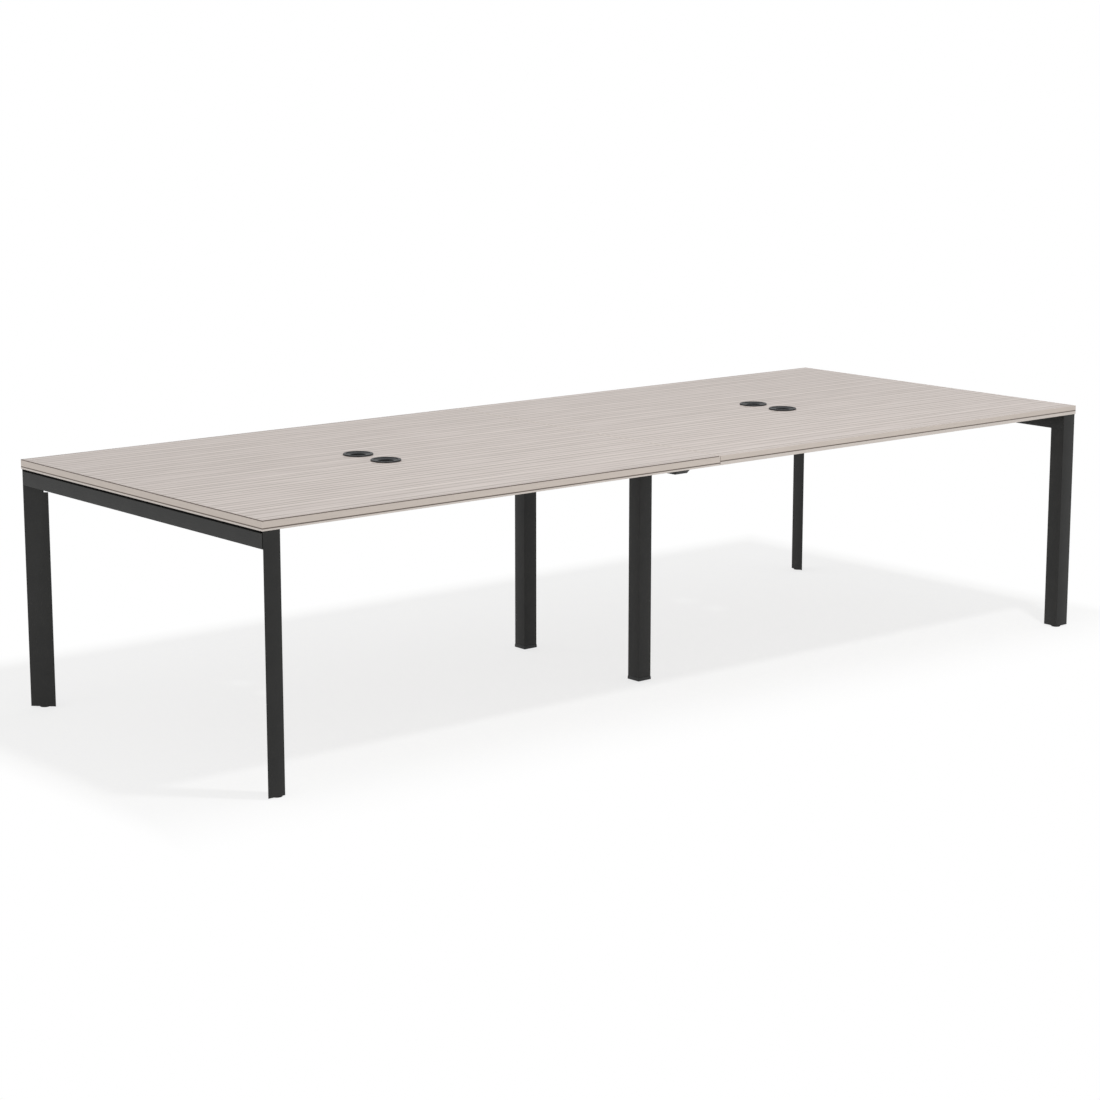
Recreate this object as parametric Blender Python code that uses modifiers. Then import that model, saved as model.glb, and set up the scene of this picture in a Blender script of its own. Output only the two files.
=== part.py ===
"""Bench desk for four people: two boards on two end frames and one middle frame.

Units are metres, +Z is up, X runs along the desk, and the origin is on the floor
under the middle of the desk. The front long edge is at -Y.
"""
import math

import bmesh
import bpy
from mathutils import Matrix, Vector

# Overall sizes
DESK_LENGTH = 3.200
DESK_WIDTH = 1.250
DESK_HEIGHT = 0.740

# Boards and their glued edge bands
BOARD_THICKNESS = 0.028
BOARD_SEAM = 0.0015
BAND_THICKNESS = 0.002

# Clearances: between pieces that touch, and round pieces that turn or slide
FIT = 0.0003
RUNNING = 0.0005

# End frames: triangular legs and the rails across the ends
FRAME_INSET = 0.0015
LEG_SIDE = 0.054
LEG_WALL = 0.003
LEG_ROUND = 0.0007
LEG_LIFT = 0.0035
RELIEF_ENDS = ("left",)
RELIEF_SIDE = 0.013
RELIEF_HEIGHT = 0.021
RAIL_HEIGHT = 0.044
RAIL_WALL = 0.0025
RAIL_ROUND = 0.002

# Rubber strips between the frame and the boards
STRIP_THICKNESS = 0.003
STRIP_SETBACK = 0.008
STRIP_END_GAP = 0.020
MIDDLE_STRIP_SETBACK = 0.001

# Middle frame: cross beam with slanted tips on two square legs
MIDDLE_BEAM_LENGTH = 1.000
MIDDLE_BEAM_WALL = 0.0025
MIDDLE_TIP_RUN = 0.044
MIDDLE_LEG_SIDE = 0.050
MIDDLE_LEG_WALL = 0.002
MIDDLE_LEG_ROUND = 0.0025
MIDDLE_LEG_Y = 0.275
MIDDLE_LEG_PLATE = 0.005
CAP_OVERSIZE = 0.001
CAP_HEIGHT = 0.010

# Long beams that tie the frames together
BEAM_WIDTH = 0.040
BEAM_HEIGHT = 0.040
BEAM_WALL = 0.002
BEAM_Y = 0.275
PLATE_THICKNESS = 0.004
PLATE_EAR = 0.025
SPIGOT_RADIUS = 0.005
SPIGOT_REACH = 0.006

# Levelling feet
PAD_RADIUS = 0.015
PAD_EDGE = 0.0008
PAD_SOCKET = 0.0015
STUD_RADIUS = 0.004
STUD_LENGTH = 0.040
COLLAR_FLATS = 0.013
COLLAR_HEIGHT = 0.004
INSERT_HEIGHT = 0.030

# Cable grommets
GROMMET_X = 0.800
GROMMET_SPACING = 0.137
BORE_RADIUS = 0.040
FLANGE_RADIUS = 0.0445
FLANGE_HEIGHT = 0.0045
FLANGE_EDGE = 0.0016
LINER_WALL = 0.0025
LINER_DEPTH = 0.024
RECESS_RADIUS = 0.0360
LEDGE_DEPTH = 0.002
LEDGE_THICKNESS = 0.003
LEDGE_WIDTH = 0.0025
CAP_RIM_DROP = 0.0010
CAP_RIM_WIDTH = 0.0020
CAP_EDGE = 0.0007
CAP_DISH = 0.0024
MOUTH_RADIUS = 0.0230
MOUTH_EDGE = 0.0008

# Fasteners: the shanks, then the head and its hex key as shares of the shank's radius
BOLT_RADIUS = 0.004
BOLT_LENGTH = 0.016
LEG_BOLT_RADIUS = 0.005
LEG_BOLT_LENGTH = 0.022
SCREW_RADIUS = 0.0025
SCREW_BITE = 0.015
HEAD_RATIO = 1.75
HEAD_CROWN_RATIO = 1.05
HEAD_HEIGHT_RATIO = 1.1
HEAD_RIM_RATIO = 0.38
KEY_RATIO = 1.2

# Facets on round pieces, spare length on cutters, and the distance at which points are one
GROMMET_STEPS = 32
PAD_STEPS = 20
ROD_STEPS = 12
CORNER_STEPS = 3
SHARP_ANGLE = math.radians(40)
SPARE = 0.010
WELD = 0.000001

# Places that follow from the sizes above
FRAME_X = DESK_LENGTH / 2 - FRAME_INSET
FRAME_Y = DESK_WIDTH / 2 - FRAME_INSET
BOARD_UNDERSIDE = DESK_HEIGHT - BOARD_THICKNESS
RAIL_TOP = BOARD_UNDERSIDE - STRIP_THICKNESS - 2 * FIT
RAIL_BOTTOM = RAIL_TOP - RAIL_HEIGHT
RAIL_MIDDLE = (RAIL_TOP + RAIL_BOTTOM) / 2
RAIL_INNER_X = FRAME_X - LEG_SIDE
BOARD_LENGTH = (DESK_LENGTH - BOARD_SEAM) / 2
BOARD_X = (BOARD_LENGTH + BOARD_SEAM) / 2
FOOT_INSET = LEG_SIDE * (1 - math.sqrt(0.5))
BOLT_OFFSET = BEAM_WIDTH / 2 + PLATE_EAR / 2
BEAM_BOTTOM = RAIL_MIDDLE - BEAM_HEIGHT / 2
BEAM_START = MIDDLE_LEG_SIDE / 2 + FIT
BEAM_END = RAIL_INNER_X - FIT
BEAM_X = (BEAM_START + BEAM_END) / 2
COLLAR_RADIUS = COLLAR_FLATS / math.sqrt(3)
SIDES = {"left": -1, "right": 1}
ROWS = {"front": -1, "back": 1}

parts = bpy.data.collections.new("bench_desk")
cutters = bpy.data.collections.new("cutters")


def remove_old_objects():
    for old in list(bpy.data.objects):
        bpy.data.objects.remove(old, do_unlink=True)


def finish(name, colour, roughness, metallic=0.0):
    """A plain material with one colour, given in linear values."""
    material = bpy.data.materials.new(name)
    material.use_nodes = True
    shader = material.node_tree.nodes["Principled BSDF"]
    shader.inputs["Base Color"].default_value = (*colour, 1.0)
    shader.inputs["Roughness"].default_value = roughness
    shader.inputs["Metallic"].default_value = metallic
    return material


LAMINATE = finish("woodgrain_laminate", (0.60, 0.54, 0.50), 0.55)
BAND = finish("woodgrain_edge_band", (0.53, 0.48, 0.44), 0.50)
COATED_STEEL = finish("anthracite_powder_coat", (0.045, 0.045, 0.045), 0.55, 0.2)
BLACK_PLASTIC = finish("black_moulded_plastic", (0.020, 0.021, 0.022), 0.45)
RUBBER = finish("black_rubber", (0.012, 0.012, 0.012), 0.85)
ZINC_STEEL = finish("zinc_plated_steel", (0.55, 0.56, 0.58), 0.35, 1.0)


def add_part(name, mesh, material, location=(0, 0, 0), rotation=(0, 0, 0), parent=None):
    """Puts a mesh into the desk's collection under its own name."""
    part = bpy.data.objects.new(name, mesh)
    mesh.materials.clear()
    mesh.materials.append(material)
    parts.objects.link(part)
    part.parent = parent
    part.location = location
    part.rotation_euler = rotation
    return part


def add_cutter(name, mesh, location=(0, 0, 0), rotation=(0, 0, 0)):
    cutter = bpy.data.objects.new(name, mesh)
    cutters.objects.link(cutter)
    cutter.location = location
    cutter.rotation_euler = rotation
    cutter.hide_render = True
    cutter.display_type = "WIRE"
    return cutter


def add_axis(name, location):
    """An empty that marks a joint's axis or the middle of a group."""
    axis = bpy.data.objects.new(name, None)
    axis.empty_display_size = PAD_RADIUS
    parts.objects.link(axis)
    axis.location = location
    return axis


def combine(part, cutter, operation="DIFFERENCE"):
    modifier = part.modifiers.new(cutter.name, "BOOLEAN")
    modifier.operation = operation
    modifier.solver = "EXACT"
    modifier.object = cutter


def shade_round(mesh):
    mesh.shade_smooth()
    mesh.set_sharp_from_angle(angle=SHARP_ANGLE)


def box_mesh(name, size):
    """A box centred on its origin."""
    shape = bmesh.new()
    bmesh.ops.create_cube(shape, size=1.0)
    bmesh.ops.scale(shape, vec=size, verts=shape.verts)
    mesh = bpy.data.meshes.new(name)
    shape.to_mesh(mesh)
    shape.free()
    return mesh


def rods_mesh(name, rods, steps=ROD_STEPS):
    """Cylinders, each given by its middle, its axis letter, its radius and its length."""
    turns = {"X": Matrix.Rotation(math.pi / 2, 4, "Y"), "Y": Matrix.Rotation(math.pi / 2, 4, "X"),
             "Z": Matrix.Identity(4)}
    shape = bmesh.new()
    for middle, axis, radius, length in rods:
        bmesh.ops.create_cone(
            shape, cap_ends=True, segments=steps, radius1=radius, radius2=radius,
            depth=length, matrix=Matrix.Translation(middle) @ turns[axis])
    mesh = bpy.data.meshes.new(name)
    shape.to_mesh(mesh)
    shape.free()
    return mesh


def rounded(corners, radius):
    """The corners of a flat outline, each replaced by a short arc."""
    points = []
    count = len(corners)
    for index, corner in enumerate(corners):
        here = Vector(corner)
        before = (Vector(corners[index - 1]) - here).normalized()
        after = (Vector(corners[(index + 1) % count]) - here).normalized()
        half_angle = before.angle(after) / 2
        centre = here + (before + after).normalized() * (radius / math.sin(half_angle))
        first = here + before * (radius / math.tan(half_angle)) - centre
        last = here + after * (radius / math.tan(half_angle)) - centre
        sweep = first.angle_signed(last)
        for step in range(CORNER_STEPS + 1):
            turn = Matrix.Rotation(-sweep * step / CORNER_STEPS, 2)
            points.append(centre + turn @ first)
    return points


def rectangle(length, width):
    x, y = length / 2, width / 2
    return [(-x, -y), (x, -y), (x, y), (-x, y)]


def outline_mesh(name, loops, depth):
    """A flat outline, with any holes after the first loop, extruded evenly about its plane."""
    curve = bpy.data.curves.new(name, "CURVE")
    curve.dimensions = "2D"
    curve.fill_mode = "BOTH"
    curve.extrude = depth / 2
    for loop in loops:
        spline = curve.splines.new("POLY")
        spline.points.add(len(loop) - 1)
        for point, (x, y) in zip(spline.points, loop):
            point.co = (x, y, 0.0, 1.0)
        spline.use_cyclic_u = True
    drawn = bpy.data.objects.new(name, curve)
    parts.objects.link(drawn)
    depsgraph = bpy.context.evaluated_depsgraph_get()
    mesh = bpy.data.meshes.new_from_object(drawn.evaluated_get(depsgraph))
    bpy.data.objects.remove(drawn, do_unlink=True)
    shape = bmesh.new()
    shape.from_mesh(mesh)
    bmesh.ops.remove_doubles(shape, verts=shape.verts, dist=WELD)
    bmesh.ops.recalc_face_normals(shape, faces=shape.faces)
    shape.to_mesh(mesh)
    shape.free()
    return mesh


def profile_mesh(name, points, closed):
    """A turned piece's profile as edges, from points of radius and height."""
    vertices = [(radius, 0.0, height) for radius, height in points]
    edges = [(index, index + 1) for index in range(len(points) - 1)]
    if closed:
        edges.append((len(points) - 1, 0))
    mesh = bpy.data.meshes.new(name)
    mesh.from_pydata(vertices, edges, [])
    return mesh


def turn_profile(part, steps):
    screw = part.modifiers.new("turned", "SCREW")
    screw.axis = "Z"
    screw.steps = steps
    screw.render_steps = steps
    screw.use_merge_vertices = True
    screw.merge_threshold = WELD
    screw.use_smooth_shade = True


def leg_point(side, row, along, across):
    """A place in a leg's section: along from its inner face, across from its flush face."""
    return (side * (RAIL_INNER_X + along), row * (FRAME_Y - across))


def triangle(wall):
    """The leg's right triangle, drawn in by a wall, as distances along and across."""
    far = LEG_SIDE - wall * (1 + math.sqrt(2))
    return [(wall, wall), (far, wall), (wall, far)]


def place_outline(side, row, points):
    return [leg_point(side, row, along, across) for along, across in points]


def add_boards():
    """Two boards with bores for the grommets and pilot holes for the screws."""
    bare = BAND_THICKNESS + FIT
    for name, side in SIDES.items():
        middle = (side * BOARD_X, 0, DESK_HEIGHT - BOARD_THICKNESS / 2)
        size = (BOARD_LENGTH - 2 * bare, DESK_WIDTH - 2 * bare, BOARD_THICKNESS)
        mesh = box_mesh("top_board_" + name, size)
        board = add_part("top_board_" + name, mesh, LAMINATE, middle)
        bores = []
        pilots = []
        for row in ROWS.values():
            bore_place = (side * GROMMET_X, row * GROMMET_SPACING / 2, middle[2])
            bores.append((bore_place, "Z", BORE_RADIUS, BOARD_THICKNESS + 2 * SPARE))
            pilot_depth = SCREW_BITE + FIT
            pilot_place = (side * BEAM_X, row * BEAM_Y, BOARD_UNDERSIDE + (pilot_depth - SPARE) / 2)
            pilots.append((pilot_place, "Z", SCREW_RADIUS + FIT, pilot_depth + SPARE))
        combine(board, add_cutter("bores_" + name, rods_mesh("bores_" + name, bores, GROMMET_STEPS)))
        combine(board, add_cutter("pilots_" + name, rods_mesh("pilots_" + name, pilots)))

        outer = rectangle(BOARD_LENGTH, DESK_WIDTH)
        inner = rectangle(BOARD_LENGTH - 2 * BAND_THICKNESS, DESK_WIDTH - 2 * BAND_THICKNESS)
        band = outline_mesh("edge_band_" + name, [outer, inner], BOARD_THICKNESS)
        add_part("edge_band_" + name, band, BAND, middle)


def add_end_legs():
    """Four triangular tubes, whose flush walls run up past the ends of the rails."""
    height = BOARD_UNDERSIDE - FIT - LEG_LIFT
    rail_seat = RAIL_BOTTOM - FIT
    for side_name, side in SIDES.items():
        for row_name, row in ROWS.items():
            name = "leg_" + row_name + "_" + side_name
            outer = rounded(place_outline(side, row, triangle(0.0)), LEG_ROUND)
            inner = place_outline(side, row, triangle(LEG_WALL))
            mesh = outline_mesh(name, [outer, inner], height)
            leg = add_part(name, mesh, COATED_STEEL, (0, 0, LEG_LIFT + height / 2))

            tab = LEG_WALL - FIT
            seat_depth = LEG_SIDE - tab + SPARE
            seat_height = BOARD_UNDERSIDE - rail_seat + SPARE
            seat = box_mesh(name + "_rail_seat", (LEG_SIDE + 2 * SPARE, seat_depth, seat_height))
            x, y = leg_point(side, row, LEG_SIDE / 2, tab + seat_depth / 2)
            combine(leg, add_cutter(name + "_rail_seat", seat, (x, y, rail_seat + seat_height / 2)))

            if side_name in RELIEF_ENDS:
                cut_relief(leg, side, row)


def cut_relief(leg, side, row):
    """A small notch in the leg's inner edge, just under the rail."""
    name = leg.name + "_relief"
    width = RELIEF_SIDE + SPARE
    height = RELIEF_HEIGHT + SPARE
    x, y = leg_point(side, row, RELIEF_SIDE - width / 2, LEG_SIDE - RELIEF_SIDE + width / 2)
    z = RAIL_BOTTOM - RELIEF_HEIGHT + height / 2
    combine(leg, add_cutter(name, box_mesh(name, (width, width, height)), (x, y, z)))


def beam_holes(middle_x, reach):
    """Bolt and spigot holes along X, beside both long beams."""
    holes = []
    for row in ROWS.values():
        bolt_place = (middle_x, row * (BEAM_Y + BOLT_OFFSET), RAIL_MIDDLE)
        spigot_place = (middle_x, row * (BEAM_Y - BOLT_OFFSET), RAIL_MIDDLE)
        holes.append((bolt_place, "X", BOLT_RADIUS + FIT, reach))
        holes.append((spigot_place, "X", SPIGOT_RADIUS + FIT, reach))
    return holes


def add_end_rails():
    """A rectangular tube across each end, between the flush walls of two legs."""
    length = 2 * (FRAME_Y - LEG_WALL)
    for name, side in SIDES.items():
        outer = rounded(rectangle(LEG_SIDE, RAIL_HEIGHT), RAIL_ROUND)
        inner = rectangle(LEG_SIDE - 2 * RAIL_WALL, RAIL_HEIGHT - 2 * RAIL_WALL)
        mesh = outline_mesh("end_rail_" + name, [outer, inner], length)
        place = (side * (RAIL_INNER_X + LEG_SIDE / 2), 0, RAIL_MIDDLE)
        rail = add_part("end_rail_" + name, mesh, COATED_STEEL, place, (math.pi / 2, 0, 0))
        holes = beam_holes(side * RAIL_INNER_X, 2 * (RAIL_WALL + SPARE))
        combine(rail, add_cutter("rail_holes_" + name, rods_mesh("rail_holes_" + name, holes)))


def tip_outline(bottom, top, wall):
    """The middle beam's side view between two heights, with its slanted ends drawn in by a wall."""
    slant = math.hypot(MIDDLE_TIP_RUN, RAIL_HEIGHT) / RAIL_HEIGHT

    def reach(height):
        rise = height + RAIL_HEIGHT / 2
        low_end = MIDDLE_BEAM_LENGTH / 2 - MIDDLE_TIP_RUN
        return low_end + rise * MIDDLE_TIP_RUN / RAIL_HEIGHT - wall * slant

    return [(-reach(bottom), bottom), (reach(bottom), bottom), (reach(top), top), (-reach(top), top)]


def add_middle_beam():
    """A folded channel across the middle, open at the top, with slanted closed tips."""
    upright = (math.pi / 2, 0, math.pi / 2)
    half = RAIL_HEIGHT / 2
    mesh = outline_mesh("middle_beam", [tip_outline(-half, half, 0.0)], MIDDLE_LEG_SIDE)
    beam = add_part("middle_beam", mesh, COATED_STEEL, (0, 0, RAIL_MIDDLE), upright)
    inside = tip_outline(-half + MIDDLE_BEAM_WALL, half + SPARE, MIDDLE_BEAM_WALL)
    pocket = outline_mesh("middle_pocket", [inside], MIDDLE_LEG_SIDE - 2 * MIDDLE_BEAM_WALL)
    combine(beam, add_cutter("middle_pocket", pocket, (0, 0, RAIL_MIDDLE), upright))
    holes = beam_holes(0, MIDDLE_LEG_SIDE + 2 * SPARE)
    for row in ROWS.values():
        place = (0, row * MIDDLE_LEG_Y, RAIL_BOTTOM)
        holes.append((place, "Z", LEG_BOLT_RADIUS + FIT, 2 * MIDDLE_BEAM_WALL + FIT))
    combine(beam, add_cutter("middle_beam_holes", rods_mesh("middle_beam_holes", holes)))


def add_middle_legs():
    """Two square tubes closed at the top by a welded plate, with plastic caps below."""
    bottom = LEG_LIFT + CAP_HEIGHT + FIT
    top = RAIL_BOTTOM - FIT
    section = rounded(rectangle(MIDDLE_LEG_SIDE, MIDDLE_LEG_SIDE), MIDDLE_LEG_ROUND)
    bore = MIDDLE_LEG_SIDE - 2 * MIDDLE_LEG_WALL
    bore_height = top - MIDDLE_LEG_PLATE - bottom + SPARE
    for name, row in ROWS.items():
        y = row * MIDDLE_LEG_Y
        mesh = outline_mesh("middle_leg_" + name, [section], top - bottom)
        leg = add_part("middle_leg_" + name, mesh, COATED_STEEL, (0, y, (top + bottom) / 2))
        hollow = box_mesh("middle_leg_bore_" + name, (bore, bore, bore_height))
        hollow_place = (0, y, bottom - SPARE + bore_height / 2)
        combine(leg, add_cutter("middle_leg_bore_" + name, hollow, hollow_place))
        hole = ((0, y, top), "Z", LEG_BOLT_RADIUS + FIT, 2 * (MIDDLE_LEG_PLATE + SPARE))
        combine(leg, add_cutter("leg_bolt_hole_" + name, rods_mesh("leg_bolt_hole_" + name, [hole])))

        side = MIDDLE_LEG_SIDE + 2 * CAP_OVERSIZE
        flange = outline_mesh("middle_leg_cap_" + name, [rounded(rectangle(side, side), MIDDLE_LEG_ROUND)],
                              CAP_HEIGHT)
        cap = add_part("middle_leg_cap_" + name, flange, BLACK_PLASTIC, (0, y, LEG_LIFT + CAP_HEIGHT / 2))
        plug_side = bore - 2 * FIT
        plug = box_mesh("cap_plug_" + name, (plug_side, plug_side, INSERT_HEIGHT - CAP_HEIGHT / 2))
        plug_place = (0, y, LEG_LIFT + (CAP_HEIGHT / 2 + INSERT_HEIGHT) / 2)
        combine(cap, add_cutter("cap_plug_" + name, plug, plug_place), "UNION")
        bore_for_stud(cap, "middle_" + name, (0, y))


def bore_for_stud(holder, name, place):
    """A through hole for a levelling stud, with room for its collar below."""
    x, y = place
    middle = LEG_LIFT + INSERT_HEIGHT / 2
    shank = ((x, y, middle), "Z", STUD_RADIUS + FIT, INSERT_HEIGHT + 2 * SPARE)
    combine(holder, add_cutter("stud_hole_" + name, rods_mesh("stud_hole_" + name, [shank], PAD_STEPS)))
    depth = COLLAR_HEIGHT + RUNNING
    collar = ((x, y, LEG_LIFT + (depth - SPARE) / 2), "Z", COLLAR_RADIUS + RUNNING, depth + SPARE)
    combine(holder, add_cutter("collar_room_" + name, rods_mesh("collar_room_" + name, [collar], PAD_STEPS)))


def add_leg_inserts():
    """Triangular plastic inserts that hold the levelling studs in the end legs."""
    for side_name, side in SIDES.items():
        for row_name, row in ROWS.items():
            name = row_name + "_" + side_name
            outline = place_outline(side, row, triangle(LEG_WALL + FIT))
            mesh = outline_mesh("leg_insert_" + name, [outline], INSERT_HEIGHT)
            place = (0, 0, LEG_LIFT + INSERT_HEIGHT / 2)
            insert = add_part("leg_insert_" + name, mesh, BLACK_PLASTIC, place)
            bore_for_stud(insert, name, leg_point(side, row, FOOT_INSET, FOOT_INSET))


def foot_places():
    """The name and place of each of the six levelling feet."""
    places = {}
    for row_name, row in ROWS.items():
        for side_name, side in SIDES.items():
            places[row_name + "_" + side_name] = leg_point(side, row, FOOT_INSET, FOOT_INSET)
        places[row_name + "_middle"] = (0, row * MIDDLE_LEG_Y)
    return places


def add_feet():
    """A round pad on each foot, and the collared stud that screws it up and down."""
    pad_top = LEG_LIFT - FIT
    socket_floor = pad_top - PAD_SOCKET
    socket_radius = STUD_RADIUS + FIT
    pad_profile = [
        (0, socket_floor), (socket_radius, socket_floor), (socket_radius, pad_top),
        (PAD_RADIUS - PAD_EDGE, pad_top), (PAD_RADIUS, pad_top - PAD_EDGE),
        (PAD_RADIUS, PAD_EDGE), (PAD_RADIUS - PAD_EDGE, 0), (0, 0)]
    for name, (x, y) in foot_places().items():
        axis = add_axis("foot_axis_" + name, (x, y, 0))
        pad = add_part("foot_pad_" + name, profile_mesh("foot_pad_" + name, pad_profile, False),
                       BLACK_PLASTIC, parent=axis)
        turn_profile(pad, PAD_STEPS)

        stud_bottom = socket_floor + FIT
        shank = ((0, 0, stud_bottom + STUD_LENGTH / 2), "Z", STUD_RADIUS, STUD_LENGTH)
        rod = rods_mesh("foot_stud_" + name, [shank])
        shade_round(rod)
        stud = add_part("foot_stud_" + name, rod, ZINC_STEEL, parent=axis)
        hexagon = ((x, y, LEG_LIFT + COLLAR_HEIGHT / 2), "Z", COLLAR_RADIUS, COLLAR_HEIGHT)
        collar = add_cutter("collar_" + name, rods_mesh("collar_" + name, [hexagon], 6))
        combine(stud, collar, "UNION")


def add_long_beams():
    """Four rectangular tubes with eared end plates, from the end rails to the middle beam."""
    length = BEAM_END - BEAM_START
    ear = BEAM_WIDTH / 2 + PLATE_EAR
    x0, x1 = length / 2, length / 2 - PLATE_THICKNESS
    half = BEAM_WIDTH / 2
    plan = [(-x0, -ear), (-x1, -ear), (-x1, -half), (x1, -half), (x1, -ear), (x0, -ear),
            (x0, ear), (x1, ear), (x1, half), (-x1, half), (-x1, ear), (-x0, ear)]
    for side_name, side in SIDES.items():
        for row_name, row in ROWS.items():
            name = row_name + "_" + side_name
            place = Vector((side * BEAM_X, row * BEAM_Y, RAIL_MIDDLE))
            mesh = outline_mesh("long_beam_" + name, [plan], BEAM_HEIGHT)
            beam = add_part("long_beam_" + name, mesh, COATED_STEEL, place)
            hollow = box_mesh("beam_bore_" + name, (length + 2 * SPARE, BEAM_WIDTH - 2 * BEAM_WALL,
                                                    BEAM_HEIGHT - 2 * BEAM_WALL))
            combine(beam, add_cutter("beam_bore_" + name, hollow, place))
            bolt_hole = (place + Vector((0, row * BOLT_OFFSET, 0)), "X", BOLT_RADIUS + FIT, length + SPARE)
            screw_hole = (place, "Z", SCREW_RADIUS + FIT, BEAM_HEIGHT + SPARE)
            holes = rods_mesh("beam_holes_" + name, [bolt_hole, screw_hole])
            combine(beam, add_cutter("beam_holes_" + name, holes))
            spigots = []
            spigot_length = SPIGOT_REACH + PLATE_THICKNESS / 2
            for end in SIDES.values():
                offset = Vector((end * (x0 + SPIGOT_REACH - spigot_length / 2), -row * BOLT_OFFSET, 0))
                spigots.append((place + offset, "X", SPIGOT_RADIUS, spigot_length))
            combine(beam, add_cutter("spigots_" + name, rods_mesh("spigots_" + name, spigots)), "UNION")


def add_support_strips():
    """Rubber strips on the rails and the middle beam, which carry the boards."""
    middle_z = BOARD_UNDERSIDE - FIT - STRIP_THICKNESS / 2
    rail_length = 2 * (FRAME_Y - LEG_WALL - STRIP_END_GAP)
    for name, side in SIDES.items():
        size = (LEG_SIDE - 2 * STRIP_SETBACK, rail_length, STRIP_THICKNESS)
        place = (side * (RAIL_INNER_X + LEG_SIDE / 2), 0, middle_z)
        add_part("support_strip_" + name, box_mesh("support_strip_" + name, size), RUBBER, place)
    size = (MIDDLE_LEG_SIDE - 2 * MIDDLE_STRIP_SETBACK, MIDDLE_BEAM_LENGTH - 2 * STRIP_END_GAP,
            STRIP_THICKNESS)
    add_part("support_strip_middle", box_mesh("support_strip_middle", size), RUBBER, (0, 0, middle_z))


def add_fastener(name, radius, length, place, rotation):
    """A button-head fastener with a hex key socket; its shank runs down from its origin."""
    head = radius * HEAD_RATIO
    height = radius * HEAD_HEIGHT_RATIO
    crown = radius * HEAD_CROWN_RATIO
    rim = radius * HEAD_RIM_RATIO
    profile = [(0, height), (crown, height), (head, rim), (head, 0), (radius, 0),
               (radius, -length), (0, -length)]
    fastener = add_part(name, profile_mesh(name, profile, False), ZINC_STEEL, place, rotation)
    turn_profile(fastener, ROD_STEPS)
    key = rods_mesh(name + "_key", [((0, 0, height), "Z", radius * KEY_RATIO / math.sqrt(3), height)], 6)
    combine(fastener, add_cutter(name + "_key", key, place, rotation))


def add_fasteners():
    """Bolts at the beam ends, bolts on the middle legs and screws into the boards."""
    for side_name, side in SIDES.items():
        for row_name, row in ROWS.items():
            name = row_name + "_" + side_name
            y = row * (BEAM_Y + BOLT_OFFSET)
            face = PLATE_THICKNESS + FIT
            outer = (side * (BEAM_END - face), y, RAIL_MIDDLE)
            inner = (side * (BEAM_START + face), y, RAIL_MIDDLE)
            towards_middle = (0, -side * math.pi / 2, 0)
            towards_end = (0, side * math.pi / 2, 0)
            add_fastener("beam_bolt_outer_" + name, BOLT_RADIUS, BOLT_LENGTH, outer, towards_middle)
            add_fastener("beam_bolt_inner_" + name, BOLT_RADIUS, BOLT_LENGTH, inner, towards_end)
            below = (side * BEAM_X, row * BEAM_Y, BEAM_BOTTOM - FIT)
            screw_length = BOARD_UNDERSIDE + SCREW_BITE - below[2]
            add_fastener("top_screw_" + name, SCREW_RADIUS, screw_length, below, (math.pi, 0, 0))
    for name, row in ROWS.items():
        place = (0, row * MIDDLE_LEG_Y, RAIL_BOTTOM + MIDDLE_BEAM_WALL + FIT)
        add_fastener("leg_bolt_" + name, LEG_BOLT_RADIUS, LEG_BOLT_LENGTH, place, (0, 0, 0))


def liner_profile():
    """The flanged grommet liner, with a ledge that carries the cap."""
    outer = BORE_RADIUS - FIT
    inner = outer - LINER_WALL
    ledge_top = -LEDGE_DEPTH
    ledge_bottom = ledge_top - LEDGE_THICKNESS
    ledge_inner = RECESS_RADIUS - LEDGE_WIDTH
    crest = (RECESS_RADIUS + FLANGE_RADIUS) / 2
    return [
        (RECESS_RADIUS, FLANGE_HEIGHT - FLANGE_EDGE / 2), (crest, FLANGE_HEIGHT),
        (FLANGE_RADIUS - FLANGE_EDGE / 2, FLANGE_HEIGHT - FLANGE_EDGE / 2),
        (FLANGE_RADIUS, FLANGE_HEIGHT - FLANGE_EDGE), (FLANGE_RADIUS, FIT), (outer, FIT),
        (outer, -LINER_DEPTH), (inner, -LINER_DEPTH), (inner, ledge_bottom),
        (ledge_inner, ledge_bottom), (ledge_inner, ledge_top), (RECESS_RADIUS, ledge_top)]


def cap_profile():
    """The grommet's cap: a dished ring that sits on the liner's ledge, with a round mouth."""
    radius = RECESS_RADIUS - RUNNING
    bottom = FIT - LEDGE_DEPTH
    rim = FLANGE_HEIGHT - FLANGE_EDGE / 2 - CAP_RIM_DROP
    lip = rim - CAP_DISH
    return [(MOUTH_RADIUS, lip - MOUTH_EDGE), (MOUTH_RADIUS + MOUTH_EDGE, lip), (radius - CAP_RIM_WIDTH, rim),
            (radius, rim - CAP_EDGE), (radius, bottom), (MOUTH_RADIUS, bottom)]


def add_grommets():
    """Four grommets, each a liner in its bore and a cap that turns in it."""
    for side_name, side in SIDES.items():
        for row_name, row in ROWS.items():
            name = row_name + "_" + side_name
            place = Vector((side * GROMMET_X, row * GROMMET_SPACING / 2, DESK_HEIGHT))
            axis = add_axis("grommet_axis_" + name, place)
            liner = add_part("grommet_liner_" + name,
                             profile_mesh("grommet_liner_" + name, liner_profile(), True),
                             BLACK_PLASTIC, parent=axis)
            turn_profile(liner, GROMMET_STEPS)
            cap = add_part("grommet_cap_" + name,
                           profile_mesh("grommet_cap_" + name, cap_profile(), True),
                           BLACK_PLASTIC, parent=axis)
            turn_profile(cap, GROMMET_STEPS)


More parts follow.
